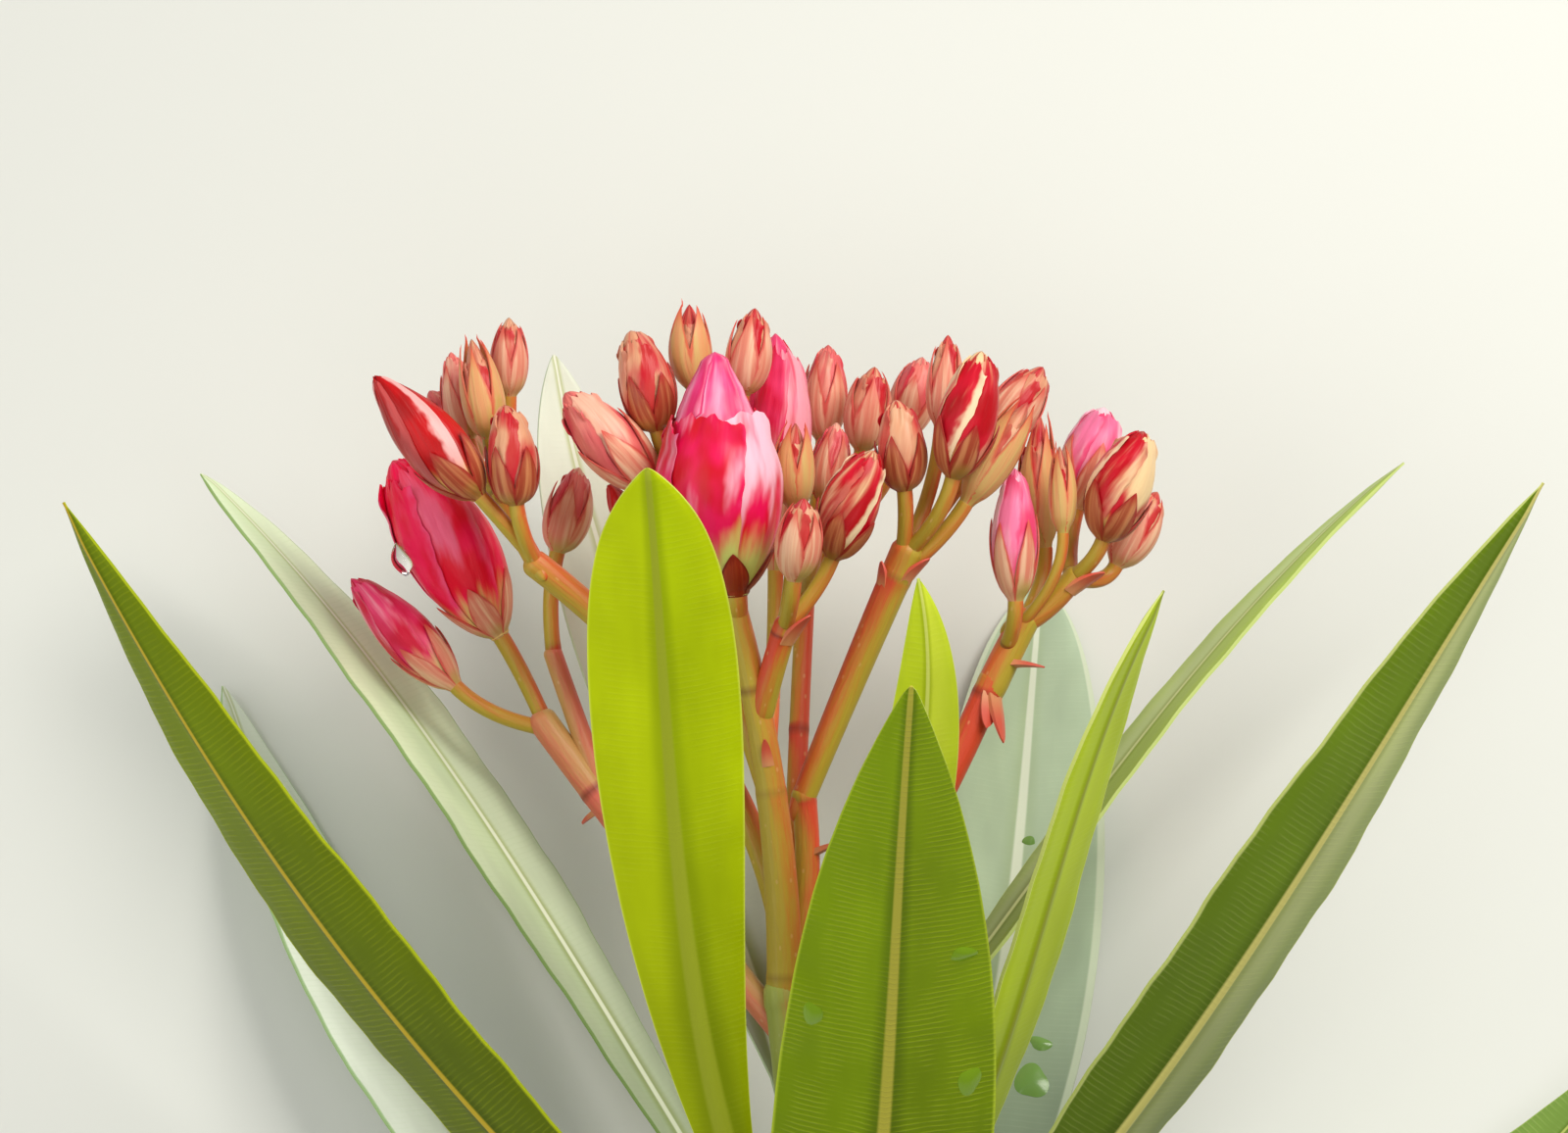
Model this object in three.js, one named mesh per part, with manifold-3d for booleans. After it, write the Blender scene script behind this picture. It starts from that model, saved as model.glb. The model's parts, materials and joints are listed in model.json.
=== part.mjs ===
// A cut flowering shoot of oleander: a green stem with narrow leathery leaves in whorls of three, and a
// loose head of flower buds on forked stalks. It lies on its hind leaves and on the cut end of its stem.
//
// Units are millimetres. The shoot is first set out in its own frame: x across, y along the stem from the
// cut, z towards its show side. The last lines lay it down, with +Z up.

import * as THREE from "three";
import { mergeVertices } from "three/addons/utils/BufferGeometryUtils.js";
import Module from "manifold-3d";

const wasm = await Module();
wasm.setup();

// Driving dimensions.
const GAP = 0.3; // between a piece and what carries it
const LEAF_THICKNESS = 1.45;
const MARGIN_THICKNESS = 0.9;
const PETIOLE_WIDTH = 2.6;
const PETIOLE_SHARE = 0.06; // of the leaf's length
const LEAF_TIP_WIDTH = 0.5;
const LEAF_STATIONS = 13;
const LIMB_SIDES = 8;
const LIMB_STATIONS = 6;
const KNUCKLE_SWELL = 0.15; // how much a stalk swells at its tip, as a share of its radius
const BUD_SIDES = 8;
const BUD_STATIONS = [0, 0.1, 0.26, 0.46, 0.68, 0.88, 1];
const PEDICEL_STATIONS = [0, 0.5];
const PEDICEL_RADIUS = 0.9;
const SPREAD = 0.5; // how far off its carrier's axis a piece starts, as a share of the carrier's radius

// How the shoot lies: it leans back on its hind leaves, and rolls a little to one side.
const LIE_PITCH = THREE.MathUtils.degToRad(19.69);
const LIE_ROLL = THREE.MathUtils.degToRad(0.51);

// The main stem, from its flat cut to the node that carries the flower stalks.
const STEM = { start: [0, 0, 0], bend: [0.8, 38, 0], tip: [-4.3, 75.5, 0], foot: 3.2, end: 2.7 };

// Flower stalks: the carrier, how far along it the stalk starts, the bend and the tip of the stalk's path,
// and its radius at the foot and at the tip.
const STALKS = [
  ["peduncle_centre", "stem", 1, [-4.2, 97, 1], [-9.6, 118.3, 4], 2.1, 1.4],
  ["peduncle_right_foot", "stem", 0.97, [-0.6, 86, -4.5], [-2, 97.6, -3.6], 1.5, 1.4],
  ["peduncle_upper_left", "stem", 0.96, [-4, 102, -7], [-32.4, 123.9, 0], 1.3, 1.6],
  ["peduncle_lower_left", "stem", 0.94, [-19.6, 88.9, -9], [-32, 105.8, -12], 1.6, 1.7],
  ["peduncle_far_right_foot", "stem", 0.93, [9.8, 87.8, -9], [19.7, 110.5, -8], 1.6, 1.7],
  ["peduncle_back", "stem", 0.95, [-2.9, 101, -12], [-1.5, 124.6, -14], 1.2, 1.1],
  ["peduncle_right", "peduncle_right_foot", 1, [3.3, 110.5, -3], [9.7, 125.3, 0], 1.4, 1.9],
  ["peduncle_far_right", "peduncle_far_right_foot", 1, [21.5, 114, -8], [23.4, 117.5, -8], 1.8, 1.7],
  ["branch_far_right", "peduncle_far_right", 1, [26.5, 119, -8], [29.1, 122.5, -7.5], 1.4, 1.3],
  ["branch_centre", "peduncle_centre", 0.75, [-5.7, 111.5, 4.6], [-4, 117, 6.5], 1.4, 1.4],
  ["branch_centre_left", "peduncle_centre", 0.52, [-10.6, 112, -4], [-14.1, 128, -4], 1.2, 1.3],
  ["branch_left_top", "peduncle_upper_left", 1, [-34.8, 128, -3], [-36.6, 131.8, -4.6], 1.1, 1.1],
  ["branch_left_back", "peduncle_lower_left", 0.76, [-28.6, 107, -12], [-30.8, 113.6, -11], 1.2, 1.1],
];

// Flower buds: the colour, the carrier, how far along it the pedicel starts, the foot and the tip of the
// bud, its widest radius, and how far along it that is.
const BUDS = [
  ["bud_left_1", "pink", "peduncle_upper_left", 0.99, [-38.5, 131.5, 3], [-50.4, 145, 4], 3.5, 0.42],
  ["bud_left_2", "tan", "branch_left_top", 1, [-40.2, 138, -5.4], [-42.3, 148.1, -5.8], 1.9, 0.4],
  ["bud_left_3", "tan", "branch_left_top", 0.9, [-37.6, 138, -1], [-39.7, 149.4, -0.6], 2.1, 0.38],
  ["bud_left_4", "tan", "branch_left_top", 1, [-35.6, 143, -4.8], [-35.6, 152, -4.6], 1.9, 0.42],
  ["bud_left_5", "tan", "peduncle_upper_left", 1, [-34.4, 130.6, 3.7], [-35.7, 141.8, 4.7], 2.7, 0.4],
  ["bud_left_6", "tan", "branch_left_top", 0.95, [-39.4, 135, -9.6], [-45, 143.8, -10.6], 2.6, 0.45],
  ["bud_left_7", "pink", "peduncle_lower_left", 1, [-36.9, 115.6, -12.5], [-49.3, 135.8, -12], 5.3, 0.5],
  ["bud_left_8", "pink", "peduncle_lower_left", 0.98, [-42.1, 109.8, -13], [-54.3, 122.2, -15], 2.9, 0.45],
  ["bud_left_9", "tan", "branch_left_back", 1, [-30.3, 125.2, -11], [-27.8, 135, -11], 2.4, 0.42],
  ["bud_centre_1", "tan", "branch_centre_left", 0.97, [-19.4, 133, 1.2], [-29, 143.2, 2.5], 3.2, 0.42],
  ["bud_centre_2", "tan", "branch_centre_left", 1, [-18.6, 139, 0.4], [-21.6, 150.3, 1], 2.9, 0.42],
  ["bud_centre_3", "tan", "branch_centre_left", 1, [-14.4, 143.5, -2.6], [-15, 153.4, -2.4], 2.1, 0.42],
  ["bud_centre_4", "tan", "branch_centre_left", 0.95, [-9, 143, -0.8], [-7.5, 152.9, -0.4], 2.3, 0.42],
  ["bud_centre_5", "pink", "peduncle_centre", 1, [-9.7, 120.4, 5], [-12, 147.7, 7.5], 6.5, 0.5],
  ["bud_centre_6", "pink", "peduncle_centre", 0.62, [-5.2, 123, -7], [-5.2, 150.3, -8], 3.7, 0.6],
  ["bud_centre_7", "tan", "branch_centre", 0.96, [-2.9, 130, 1], [-2.9, 139.8, 1.4], 2.1, 0.42],
  ["bud_centre_8", "tan", "peduncle_back", 0.92, [0.3, 131, -3.4], [1.8, 140, -3.2], 2, 0.42],
  ["bud_centre_9", "tan", "branch_centre", 1, [1.2, 124.6, 7], [5.8, 136.6, 9], 3.2, 0.45],
  ["bud_centre_10", "tan", "branch_centre", 1, [-3.1, 122, 11.4], [-2, 131.2, 13.4], 2.3, 0.45],
  ["bud_centre_11", "tan", "peduncle_back", 1, [0.3, 138, -14], [0.9, 149.2, -14], 2.3, 0.45],
  ["bud_centre_12", "tan", "peduncle_back", 0.97, [4.7, 136.8, -10], [6.2, 146.5, -9], 2.4, 0.45],
  ["bud_centre_13", "tan", "peduncle_back", 1, [9.6, 138.6, -14.5], [11.8, 147.8, -14.5], 2.4, 0.45],
  ["bud_centre_14", "tan", "branch_centre_left", 0.88, [-21.4, 128, -3.4], [-24.2, 132.9, -3.4], 1.4, 0.42],
  ["bud_right_1", "tan", "peduncle_right", 1, [13.7, 139.5, -4.4], [14.5, 150, -4.4], 1.8, 0.42],
  ["bud_right_2", "pink", "peduncle_right", 1, [14.8, 133.6, 4.6], [18, 147.8, 6.4], 3.3, 0.45],
  ["bud_right_3", "tan", "peduncle_right", 0.97, [19, 137.4, -6], [25.4, 146.4, -6.2], 2.7, 0.45],
  ["bud_right_4", "tan", "peduncle_right", 0.94, [16.3, 130.6, 0.4], [23.4, 142.2, 0.4], 2.1, 0.45],
  ["bud_right_5", "tan", "peduncle_right", 0.98, [9.4, 132.2, 2.6], [8.4, 142.4, 3.6], 2.6, 0.42],
  ["bud_far_right_1", "pink", "peduncle_far_right", 0.55, [22.2, 119.6, -4.6], [22.1, 134.8, -4.4], 2.5, 0.45],
  ["bud_far_right_2", "pink", "branch_far_right", 0.95, [29.6, 130.2, -14], [32.8, 142, -14.6], 3.4, 0.5],
  ["bud_far_right_3", "pink", "branch_far_right", 1, [32.2, 126.6, -5], [36.8, 139, -4], 3.5, 0.45],
  ["bud_far_right_4", "tan", "branch_far_right", 0.98, [33.9, 123.6, -11], [38.8, 132.2, -12], 2.3, 0.45],
  ["bud_far_right_5", "tan", "peduncle_far_right", 0.98, [25.8, 125.6, -11.2], [25.2, 141.1, -11.2], 2, 0.42],
  ["bud_far_right_6", "tan", "peduncle_far_right", 0.9, [27.6, 127.5, -4.6], [27.2, 137.3, -4.6], 1.3, 0.4],
];

// Leaves: the height of the foot on the stem, the width, how far along the leaf is widest, how blunt its tip
// is, how far its halves fold up, in degrees, two points that the midrib passes at a third and at two thirds
// of its length, its tip, and the way that its upper side faces.
const LEAVES = [
  { name: "leaf_front_right", colour: "green", height: 12, width: 25, widest: 0.42, blunt: 0.6, fold: 8,
    low: [5.5, 45.9, 13], high: [7.6, 79.5, 36], tip: [9, 111.2, 64], facing: [0, 0.4, -0.9] },
  { name: "leaf_left_low", colour: "pale", height: 12, width: 18, widest: 0.5, blunt: 0.8, fold: 4,
    low: [-27.8, 40.5, -9], high: [-53.6, 71.8, -22], tip: [-71.5, 109.3, -40], facing: [0.78, 0.46, 0.42] },
  { name: "leaf_low_right", colour: "pale", height: 12, width: 19, widest: 0.5, blunt: 0.8, fold: 10,
    low: [31, 21, -4], high: [66, 41, -10], tip: [95, 68.5, -18], facing: [-0.4, 0.7, 0.5] },
  { name: "leaf_far_left", colour: "green", height: 24, width: 18.5, widest: 0.45, blunt: 0.95, fold: 12,
    low: [-36.3, 60.1, 8], high: [-62.4, 94, 15], tip: [-83.7, 130.7, 20], facing: [0.68, 0.56, -0.44] },
  { name: "leaf_far_right", colour: "green", height: 24, width: 22, widest: 0.47, blunt: 0.95, fold: 9,
    low: [31, 57.4, 8], high: [56.1, 94.8, 16], tip: [79.1, 132.8, 24], facing: [-0.68, 0.5, -0.6] },
  { name: "leaf_back_wide", colour: "pale", height: 24, width: 21.5, widest: 0.55, blunt: 0.5, fold: 5,
    low: [16, 53.4, -13], high: [22.9, 85.7, -29], tip: [26.7, 121, -46], facing: [0, 0.4, 0.9] },
  { name: "leaf_front_left", colour: "young", height: 32, width: 16.5, widest: 0.72, blunt: 0.5, fold: 6,
    low: [-12.2, 65.9, 13], high: [-16.6, 101, 30], tip: [-18.7, 134, 50], facing: [0, 0.4, -0.9] },
  { name: "leaf_left_pale", colour: "pale", height: 34, width: 17, widest: 0.58, blunt: 0.7, fold: 3,
    low: [-23, 69.6, -6], high: [-45.6, 103.5, -16], tip: [-72.7, 134.5, -27], facing: [0.74, 0.55, 0.36] },
  { name: "leaf_right_narrow", colour: "young", height: 32, width: 13, widest: 0.55, blunt: 0.8, fold: 6,
    low: [16.6, 60.4, 11], high: [25.9, 91.1, 24], tip: [36.6, 121, 38], facing: [-0.84, 0.27, -0.46] },
  { name: "leaf_front_small", colour: "young", height: 54, width: 10, widest: 0.55, blunt: 0.7, fold: 10,
    low: [4.6, 76.2, 9], high: [10.4, 99.7, 22], tip: [10.3, 122.3, 34], facing: [-0.1, 0.4, -0.9] },
  { name: "leaf_back_right", colour: "green", height: 54, width: 11.5, widest: 0.5, blunt: 0.8, fold: 4,
    low: [20.1, 81.6, -6], high: [41.8, 109.3, -14], tip: [68.1, 135.7, -22], facing: [-0.72, 0.64, 0.24] },
  { name: "leaf_back_left", colour: "pale", height: 54, width: 14, widest: 0.6, blunt: 0.7, fold: 8,
    low: [-10.8, 84.5, -11], high: [-22.6, 115.6, -25], tip: [-31.5, 148.7, -34], facing: [0.2, 0.4, 0.9] },
];

const COLOURS = {
  stem: 0x9aa05c,
  stalk: 0xc4815f,
  green: 0x71892d,
  young: 0xb0c234,
  pale: 0xbccbb5,
  pink: 0xdd4a67,
  tan: 0xcb8068,
};

const vector = (p) => new THREE.Vector3(...p);

// A closed geometry from a row of sections with the same number of points each, capped at both ends.
function loft(sections) {
  const count = sections[0].length;
  const points = sections.flat();
  const faces = [];
  for (let i = 0; i + 1 < sections.length; i++) {
    for (let j = 0; j < count; j++) {
      const a = i * count + j;
      const b = i * count + ((j + 1) % count);
      faces.push([a, b, a + count], [b, b + count, a + count]);
    }
  }
  const middle = (section) => section.reduce((sum, p) => sum.add(p), new THREE.Vector3()).divideScalar(count);
  const first = points.push(middle(sections[0])) - 1;
  const last = points.push(middle(sections.at(-1))) - 1;
  const end = (sections.length - 1) * count;
  for (let j = 0; j < count; j++) {
    const next = (j + 1) % count;
    faces.push([first, next, j], [last, end + j, end + next]);
  }
  const geometry = new THREE.BufferGeometry();
  geometry.setAttribute("position", new THREE.Float32BufferAttribute(points.flatMap((p) => p.toArray()), 3));
  geometry.setIndex(faces.flat());
  return geometry;
}

// A closed geometry as a solid that can be cut.
function solidOf(geometry) {
  const merged = mergeVertices(geometry, 1e-3);
  const triVerts = new Uint32Array(merged.index.array);
  const vertProperties = merged.attributes.position.array;
  return new wasm.Manifold(new wasm.Mesh({ numProp: 3, vertProperties, triVerts }));
}

// The largest body of a solid: cutting a piece to its seat can leave a scrap on the far side.
function largestBody(solid) {
  return solid.decompose().reduce((best, body) => (body.volume() > best.volume() ? body : best));
}

function geometryOf(solid) {
  const { vertProperties, triVerts } = solid.getMesh();
  const geometry = new THREE.BufferGeometry();
  geometry.setAttribute("position", new THREE.Float32BufferAttribute(vertProperties, 3));
  geometry.setIndex(new THREE.BufferAttribute(triVerts, 1));
  return geometry.toNonIndexed();
}

// A ring of points round a centre, square to a direction.
function ring(centre, along, radius, sides, side) {
  const across = side.clone().addScaledVector(along, -side.dot(along)).normalize();
  const up = along.clone().cross(across);
  return Array.from({ length: sides }, (_, i) => {
    const angle = (2 * Math.PI * i) / sides;
    return centre
      .clone()
      .addScaledVector(across, radius * Math.cos(angle))
      .addScaledVector(up, radius * Math.sin(angle));
  });
}

// A direction square to another.
function sideOf(direction) {
  const away = Math.abs(direction.z) < 0.8 ? new THREE.Vector3(0, 0, 1) : new THREE.Vector3(1, 0, 0);
  return away.cross(direction).normalize();
}

// The stem and the stalks by name, each with its path and its radius at both ends.
const limbs = new Map();

function setLimb(name, start, bend, tip, foot, end) {
  limbs.set(name, { path: new THREE.QuadraticBezierCurve3(start, vector(bend), vector(tip)), foot, end });
}

// Where a piece starts inside its carrier: off the carrier's axis, towards the point that it makes for.
function startOn(carrier, share, aim) {
  const { path, foot, end } = limbs.get(carrier);
  const start = path.getPoint(share);
  const along = path.getTangent(share);
  const off = vector(aim).sub(start);
  off.addScaledVector(along, -off.dot(along)).normalize();
  return start.addScaledVector(off, SPREAD * THREE.MathUtils.lerp(foot, end, share));
}

// A tapering limb along its path, with a slight knuckle at its tip, grown all round by extra.
function limbSolid({ path, foot, end }, extra = 0) {
  const side = sideOf(path.getTangent(0.5));
  const sections = [];
  for (let i = 0; i < LIMB_STATIONS; i++) {
    const t = i / (LIMB_STATIONS - 1);
    const knuckle = i === LIMB_STATIONS - 1 ? 1 + KNUCKLE_SWELL : 1;
    const radius = THREE.MathUtils.lerp(foot, end, t) * knuckle + extra;
    const along = path.getTangent(t);
    const reach = i === 0 ? -extra : i === LIMB_STATIONS - 1 ? extra : 0;
    sections.push(ring(path.getPoint(t).addScaledVector(along, reach), along, radius, LIMB_SIDES, side));
  }
  return solidOf(loft(sections));
}

// The radius of a bud as a share of its widest, from its foot (0) to its tip (1).
function budProfile(t, widest) {
  const body = Math.sin(Math.PI * Math.pow(t, Math.log(0.5) / Math.log(widest))) ** 0.75;
  return Math.max(body, THREE.MathUtils.lerp(0.32, 0.1, t));
}

// A flower bud on its pedicel, which curves into line with the bud, grown all round by extra.
function budSolid(start, foot, tip, radius, widest, extra = 0) {
  const axis = tip.clone().sub(foot).normalize();
  const elbow = foot.clone().addScaledVector(axis, -0.45 * foot.distanceTo(start));
  const pedicel = new THREE.QuadraticBezierCurve3(start, elbow, foot);
  const pedicelRadius = Math.min(PEDICEL_RADIUS, 0.36 * radius + 0.2);
  const side = sideOf(axis);
  const sections = [];
  for (const u of PEDICEL_STATIONS) {
    const along = pedicel.getTangent(u);
    const centre = pedicel.getPoint(u).addScaledVector(along, u === 0 ? -extra : 0);
    sections.push(ring(centre, along, pedicelRadius + extra, BUD_SIDES, side));
  }
  for (const u of BUD_STATIONS) {
    const centre = foot.clone().lerp(tip, u).addScaledVector(axis, u === 1 ? extra : 0);
    sections.push(ring(centre, axis, radius * budProfile(u, widest) + extra, BUD_SIDES, side));
  }
  return solidOf(loft(sections));
}

// The cubic curve that passes two points at a third and at two thirds of its way.
function curveThrough(a, low, high, b) {
  const first = a.clone().multiplyScalar(-5).addScaledVector(low, 18).addScaledVector(high, -9);
  const second = a.clone().multiplyScalar(2).addScaledVector(low, -9).addScaledVector(high, 18);
  first.addScaledVector(b, 2).divideScalar(6);
  second.addScaledVector(b, -5).divideScalar(6);
  return new THREE.CubicBezierCurve3(a, first, second, b);
}

// The half width of a leaf, from its foot (0) to its tip (1): a petiole, then a long blade.
function leafHalfWidth(t, width, widest, blunt) {
  const blade = Math.max(0, (t - PETIOLE_SHARE) / (1 - PETIOLE_SHARE));
  const rise = (blunt * widest) / (1 - widest);
  const shape = (s) => Math.pow(s, rise) * Math.pow(1 - s, blunt);
  const half = ((width / 2) * shape(blade)) / shape(widest);
  return Math.max(half, t < 0.5 ? PETIOLE_WIDTH / 2 : LEAF_TIP_WIDTH / 2);
}

// The point on the stem's axis at a height above the cut.
function stemAt(height) {
  const points = limbs.get("stem").path.getPoints(60);
  return points.reduce((best, p) => (Math.abs(p.y - height) < Math.abs(best.y - height) ? p : best));
}

// One leaf: a thick blade whose halves fold up from the midrib, on a short petiole, grown by extra.
function leafSolid({ height, width, widest, blunt, fold, low, high, tip, facing }, extra = 0) {
  const path = curveThrough(stemAt(height), vector(low), vector(high), vector(tip));
  const lift = THREE.MathUtils.degToRad(fold);
  const sections = [];
  for (let i = 0; i < LEAF_STATIONS; i++) {
    const t = i / (LEAF_STATIONS - 1);
    const along = path.getTangent(t);
    const centre = path.getPoint(t).addScaledVector(along, i === LEAF_STATIONS - 1 ? extra : 0);
    const upper = vector(facing).addScaledVector(along, -vector(facing).dot(along)).normalize();
    const across = along.clone().cross(upper);
    const half = leafHalfWidth(t, width, widest, blunt) + extra;
    const slim = 0.35 + 0.65 * THREE.MathUtils.smoothstep(half, 0, 3);
    const middle = (LEAF_THICKNESS / 2) * slim + extra;
    const margin = (MARGIN_THICKNESS / 2) * slim + extra;
    const place = (share, height) =>
      centre
        .clone()
        .addScaledVector(across, share * half * Math.cos(lift))
        .addScaledVector(upper, Math.abs(share) * half * Math.sin(lift) + height);
    sections.push([
      place(-1, margin),
      place(-0.5, middle),
      place(0, middle),
      place(0.5, middle),
      place(1, margin),
      place(1, -margin),
      place(0.5, -middle),
      place(0, -middle),
      place(-0.5, -middle),
      place(-1, -margin),
    ]);
  }
  return solidOf(loft(sections));
}

const pieces = [];
const taken = [];

// Cuts a new piece back from the space of those that are there already, and adds it.
function add(name, solid, space, colour) {
  const seated = taken.reduce((rest, other) => rest.subtract(other), solid);
  pieces.push({ name, solid: largestBody(seated), colour });
  taken.push(space);
}

setLimb("stem", vector(STEM.start), STEM.bend, STEM.tip, STEM.foot, STEM.end);
for (const [name, carrier, share, bend, tip, foot, end] of STALKS) {
  setLimb(name, startOn(carrier, share, bend), bend, tip, foot, end);
}
for (const [name, shape] of limbs) {
  add(name, limbSolid(shape), limbSolid(shape, GAP), name === "stem" ? COLOURS.stem : COLOURS.stalk);
}
for (const shape of LEAVES) {
  add(shape.name, leafSolid(shape), leafSolid(shape, GAP), COLOURS[shape.colour]);
}
for (const [name, colour, carrier, share, foot, tip, radius, widest] of BUDS) {
  const shape = [startOn(carrier, share, foot), vector(foot), vector(tip), radius, widest];
  add(name, budSolid(...shape), budSolid(...shape, GAP), COLOURS[colour]);
}

// The shoot laid down on its hind leaves, and set on the ground with its box centred.
const shoot = new THREE.Group();
for (const { name, solid, colour } of pieces) {
  const material = new THREE.MeshStandardMaterial({ color: colour, roughness: 0.55, metalness: 0 });
  const mesh = new THREE.Mesh(geometryOf(solid), material);
  mesh.name = name;
  shoot.add(mesh);
}
shoot.rotation.set(LIE_PITCH, LIE_ROLL, 0);
shoot.updateMatrixWorld(true);
const box = new THREE.Box3().setFromObject(shoot, true);
shoot.position.set(-(box.min.x + box.max.x) / 2, -(box.min.y + box.max.y) / 2, -box.min.z);

const part = new THREE.Group();
part.add(shoot);

export default part;
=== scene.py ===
# %% [markdown]
# # A cut oleander shoot in bud
#
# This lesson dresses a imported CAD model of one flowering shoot. The model gives the true places and
# sizes. Here each piece gets its real surface: thin leaves with a rib, stalks with rings and bracts, and
# buds of wrapped petals in their sepals.
#
# The shoot lies on its hind leaves, and the camera looks down on it, so that it shows the side that the
# photograph shows.

import json
import math
from collections import namedtuple

import bpy
import numpy as np
from mathutils import Matrix, Vector


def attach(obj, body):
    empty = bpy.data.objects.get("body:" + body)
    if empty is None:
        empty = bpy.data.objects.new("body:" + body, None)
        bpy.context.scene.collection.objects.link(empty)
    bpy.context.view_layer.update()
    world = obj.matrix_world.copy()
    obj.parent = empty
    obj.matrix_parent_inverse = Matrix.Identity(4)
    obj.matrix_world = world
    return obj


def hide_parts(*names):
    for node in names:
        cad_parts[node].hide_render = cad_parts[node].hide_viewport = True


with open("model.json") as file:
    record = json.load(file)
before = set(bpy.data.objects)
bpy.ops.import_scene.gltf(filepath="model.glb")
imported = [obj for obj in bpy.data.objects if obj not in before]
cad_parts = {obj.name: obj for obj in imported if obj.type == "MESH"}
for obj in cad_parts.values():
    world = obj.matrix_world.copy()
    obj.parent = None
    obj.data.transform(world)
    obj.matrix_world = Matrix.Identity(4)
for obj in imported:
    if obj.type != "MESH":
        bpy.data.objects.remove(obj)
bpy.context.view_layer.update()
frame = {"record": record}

# %% [markdown]
# ## The shoot's own frame
#
# A plant is easiest to describe upright. So every table below is in millimetres in the shoot's own frame:
# x across, y up the stem from its cut, z towards the show side. One turn and one shift lay it down. The
# turn is the same as in the CAD source, and the shift is the place of the stem's cut, which the model's
# record keeps as a mount.

# %% From the shoot's frame to the ground
LIE_PITCH = math.radians(19.69)
LIE_ROLL = math.radians(0.51)
MM = 0.001

turn = np.array(Matrix.Rotation(LIE_PITCH, 3, "X") @ Matrix.Rotation(LIE_ROLL, 3, "Y"))
cut = next(mount for mount in frame["record"]["mounts"] if mount["name"] == "stem_cut")
cut_place = np.array(cut["pos_m"])


def lay_down(points):
    """Points of the shoot's frame, in millimetres, as points on the ground, in metres: turned, then moved."""
    return np.asarray(points, float) @ turn.T * MM + cut_place


print("the cut lies at", cut_place)

# %% [markdown]
# ## Camera
#
# The photograph was taken with a long lens, level with the flower head. A long lens far away keeps the
# buds free of distortion, so the camera stands 750 mm off and looks straight at the show side. It is
# placed in the shoot's frame and laid down with it.

# %% Camera
CAMERA_PLACE = (-4.22, 123.6, 750.0)
PIXELS_PER_MM = 9.0
PHOTO_WIDTH = 1600
SENSOR = 36.0
NEAR, FAR = 0.01, 10.0


def put_in_scene(name, data):
    """A new object of the scene, from its data."""
    thing = bpy.data.objects.new(name, data)
    bpy.context.scene.collection.objects.link(thing)
    return thing


camera_data = bpy.data.cameras.new("camera")
camera_data.sensor_width = SENSOR
camera_data.lens = SENSOR * PIXELS_PER_MM * CAMERA_PLACE[2] / PHOTO_WIDTH
camera_data.clip_start = NEAR
camera_data.clip_end = FAR
camera = put_in_scene("camera", camera_data)
camera.matrix_world = Matrix.Translation(lay_down(CAMERA_PLACE)) @ Matrix(turn.tolist()).to_4x4()
bpy.context.scene.camera = camera
print("lens", round(camera_data.lens, 1), "mm")

# %% [markdown]
# ## Floor and light
#
# The floor is one pale sheet. The light is that of a bright, slightly hazy day: a broad lamp high on the
# right, behind the flower head, draws the pale edges. A weaker one fills from the left, and the rest comes
# evenly from all round.

# %% Floor, lamps and surroundings
FLOOR_SIZE = 6.0
FLOOR_TONE = (0.72, 0.73, 0.70)
FLOOR_ROUGHNESS = 0.9
SKY_TONE = (1.0, 1.0, 0.96, 1)
SKY_STRENGTH = 0.3
LAMPS = [
    # name, place, size in mm, power in watts, tint
    ("key", (240, 430, 330), 300, 2.6, (1.0, 0.97, 0.9)),
    ("fill", (-420, 90, 420), 500, 1.35, (1.0, 1.0, 0.95)),
    ("front", (60, -40, 720), 420, 0.7, (1.0, 1.0, 0.95)),
]
AIM = (0, 105, 0)


def plain_material(name, roughness, tone=(1, 1, 1), **constants):
    """A material of one tone. Other constants of its shader are given by name."""
    material = bpy.data.materials.new(name)
    material.use_nodes = True
    shader = material.node_tree.nodes["Principled BSDF"]
    shader.inputs["Base Color"].default_value = (*tone, 1)
    shader.inputs["Roughness"].default_value = roughness
    for label, value in constants.items():
        shader.inputs[label.replace("_", " ")].default_value = value
    return material


half = FLOOR_SIZE / 2
corners = [(-half, -half, 0), (half, -half, 0), (half, half, 0), (-half, half, 0)]
floor_mesh = bpy.data.meshes.new("floor")
floor_mesh.from_pydata(corners, [], [(0, 1, 2, 3)])
floor_mesh.materials.append(plain_material("floor_paper", FLOOR_ROUGHNESS, FLOOR_TONE))
floor = put_in_scene("floor", floor_mesh)

for name, place, size, power, tint in LAMPS:
    lamp_data = bpy.data.lights.new(name, "AREA")
    lamp_data.size = size * MM
    lamp_data.energy = power
    lamp_data.color = tint
    lamp = put_in_scene(name, lamp_data)
    spot = Vector(lay_down(place))
    aimed = (spot - Vector(lay_down(AIM))).to_track_quat("Z", "Y")
    lamp.matrix_world = Matrix.Translation(spot) @ aimed.to_matrix().to_4x4()

world = bpy.data.worlds.new("sky")
world.use_nodes = True
world.node_tree.nodes["Background"].inputs["Color"].default_value = SKY_TONE
world.node_tree.nodes["Background"].inputs["Strength"].default_value = SKY_STRENGTH
bpy.context.scene.world = world
bpy.context.scene.view_settings.view_transform = "Standard"
print("lamps:", len(LAMPS))

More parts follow.
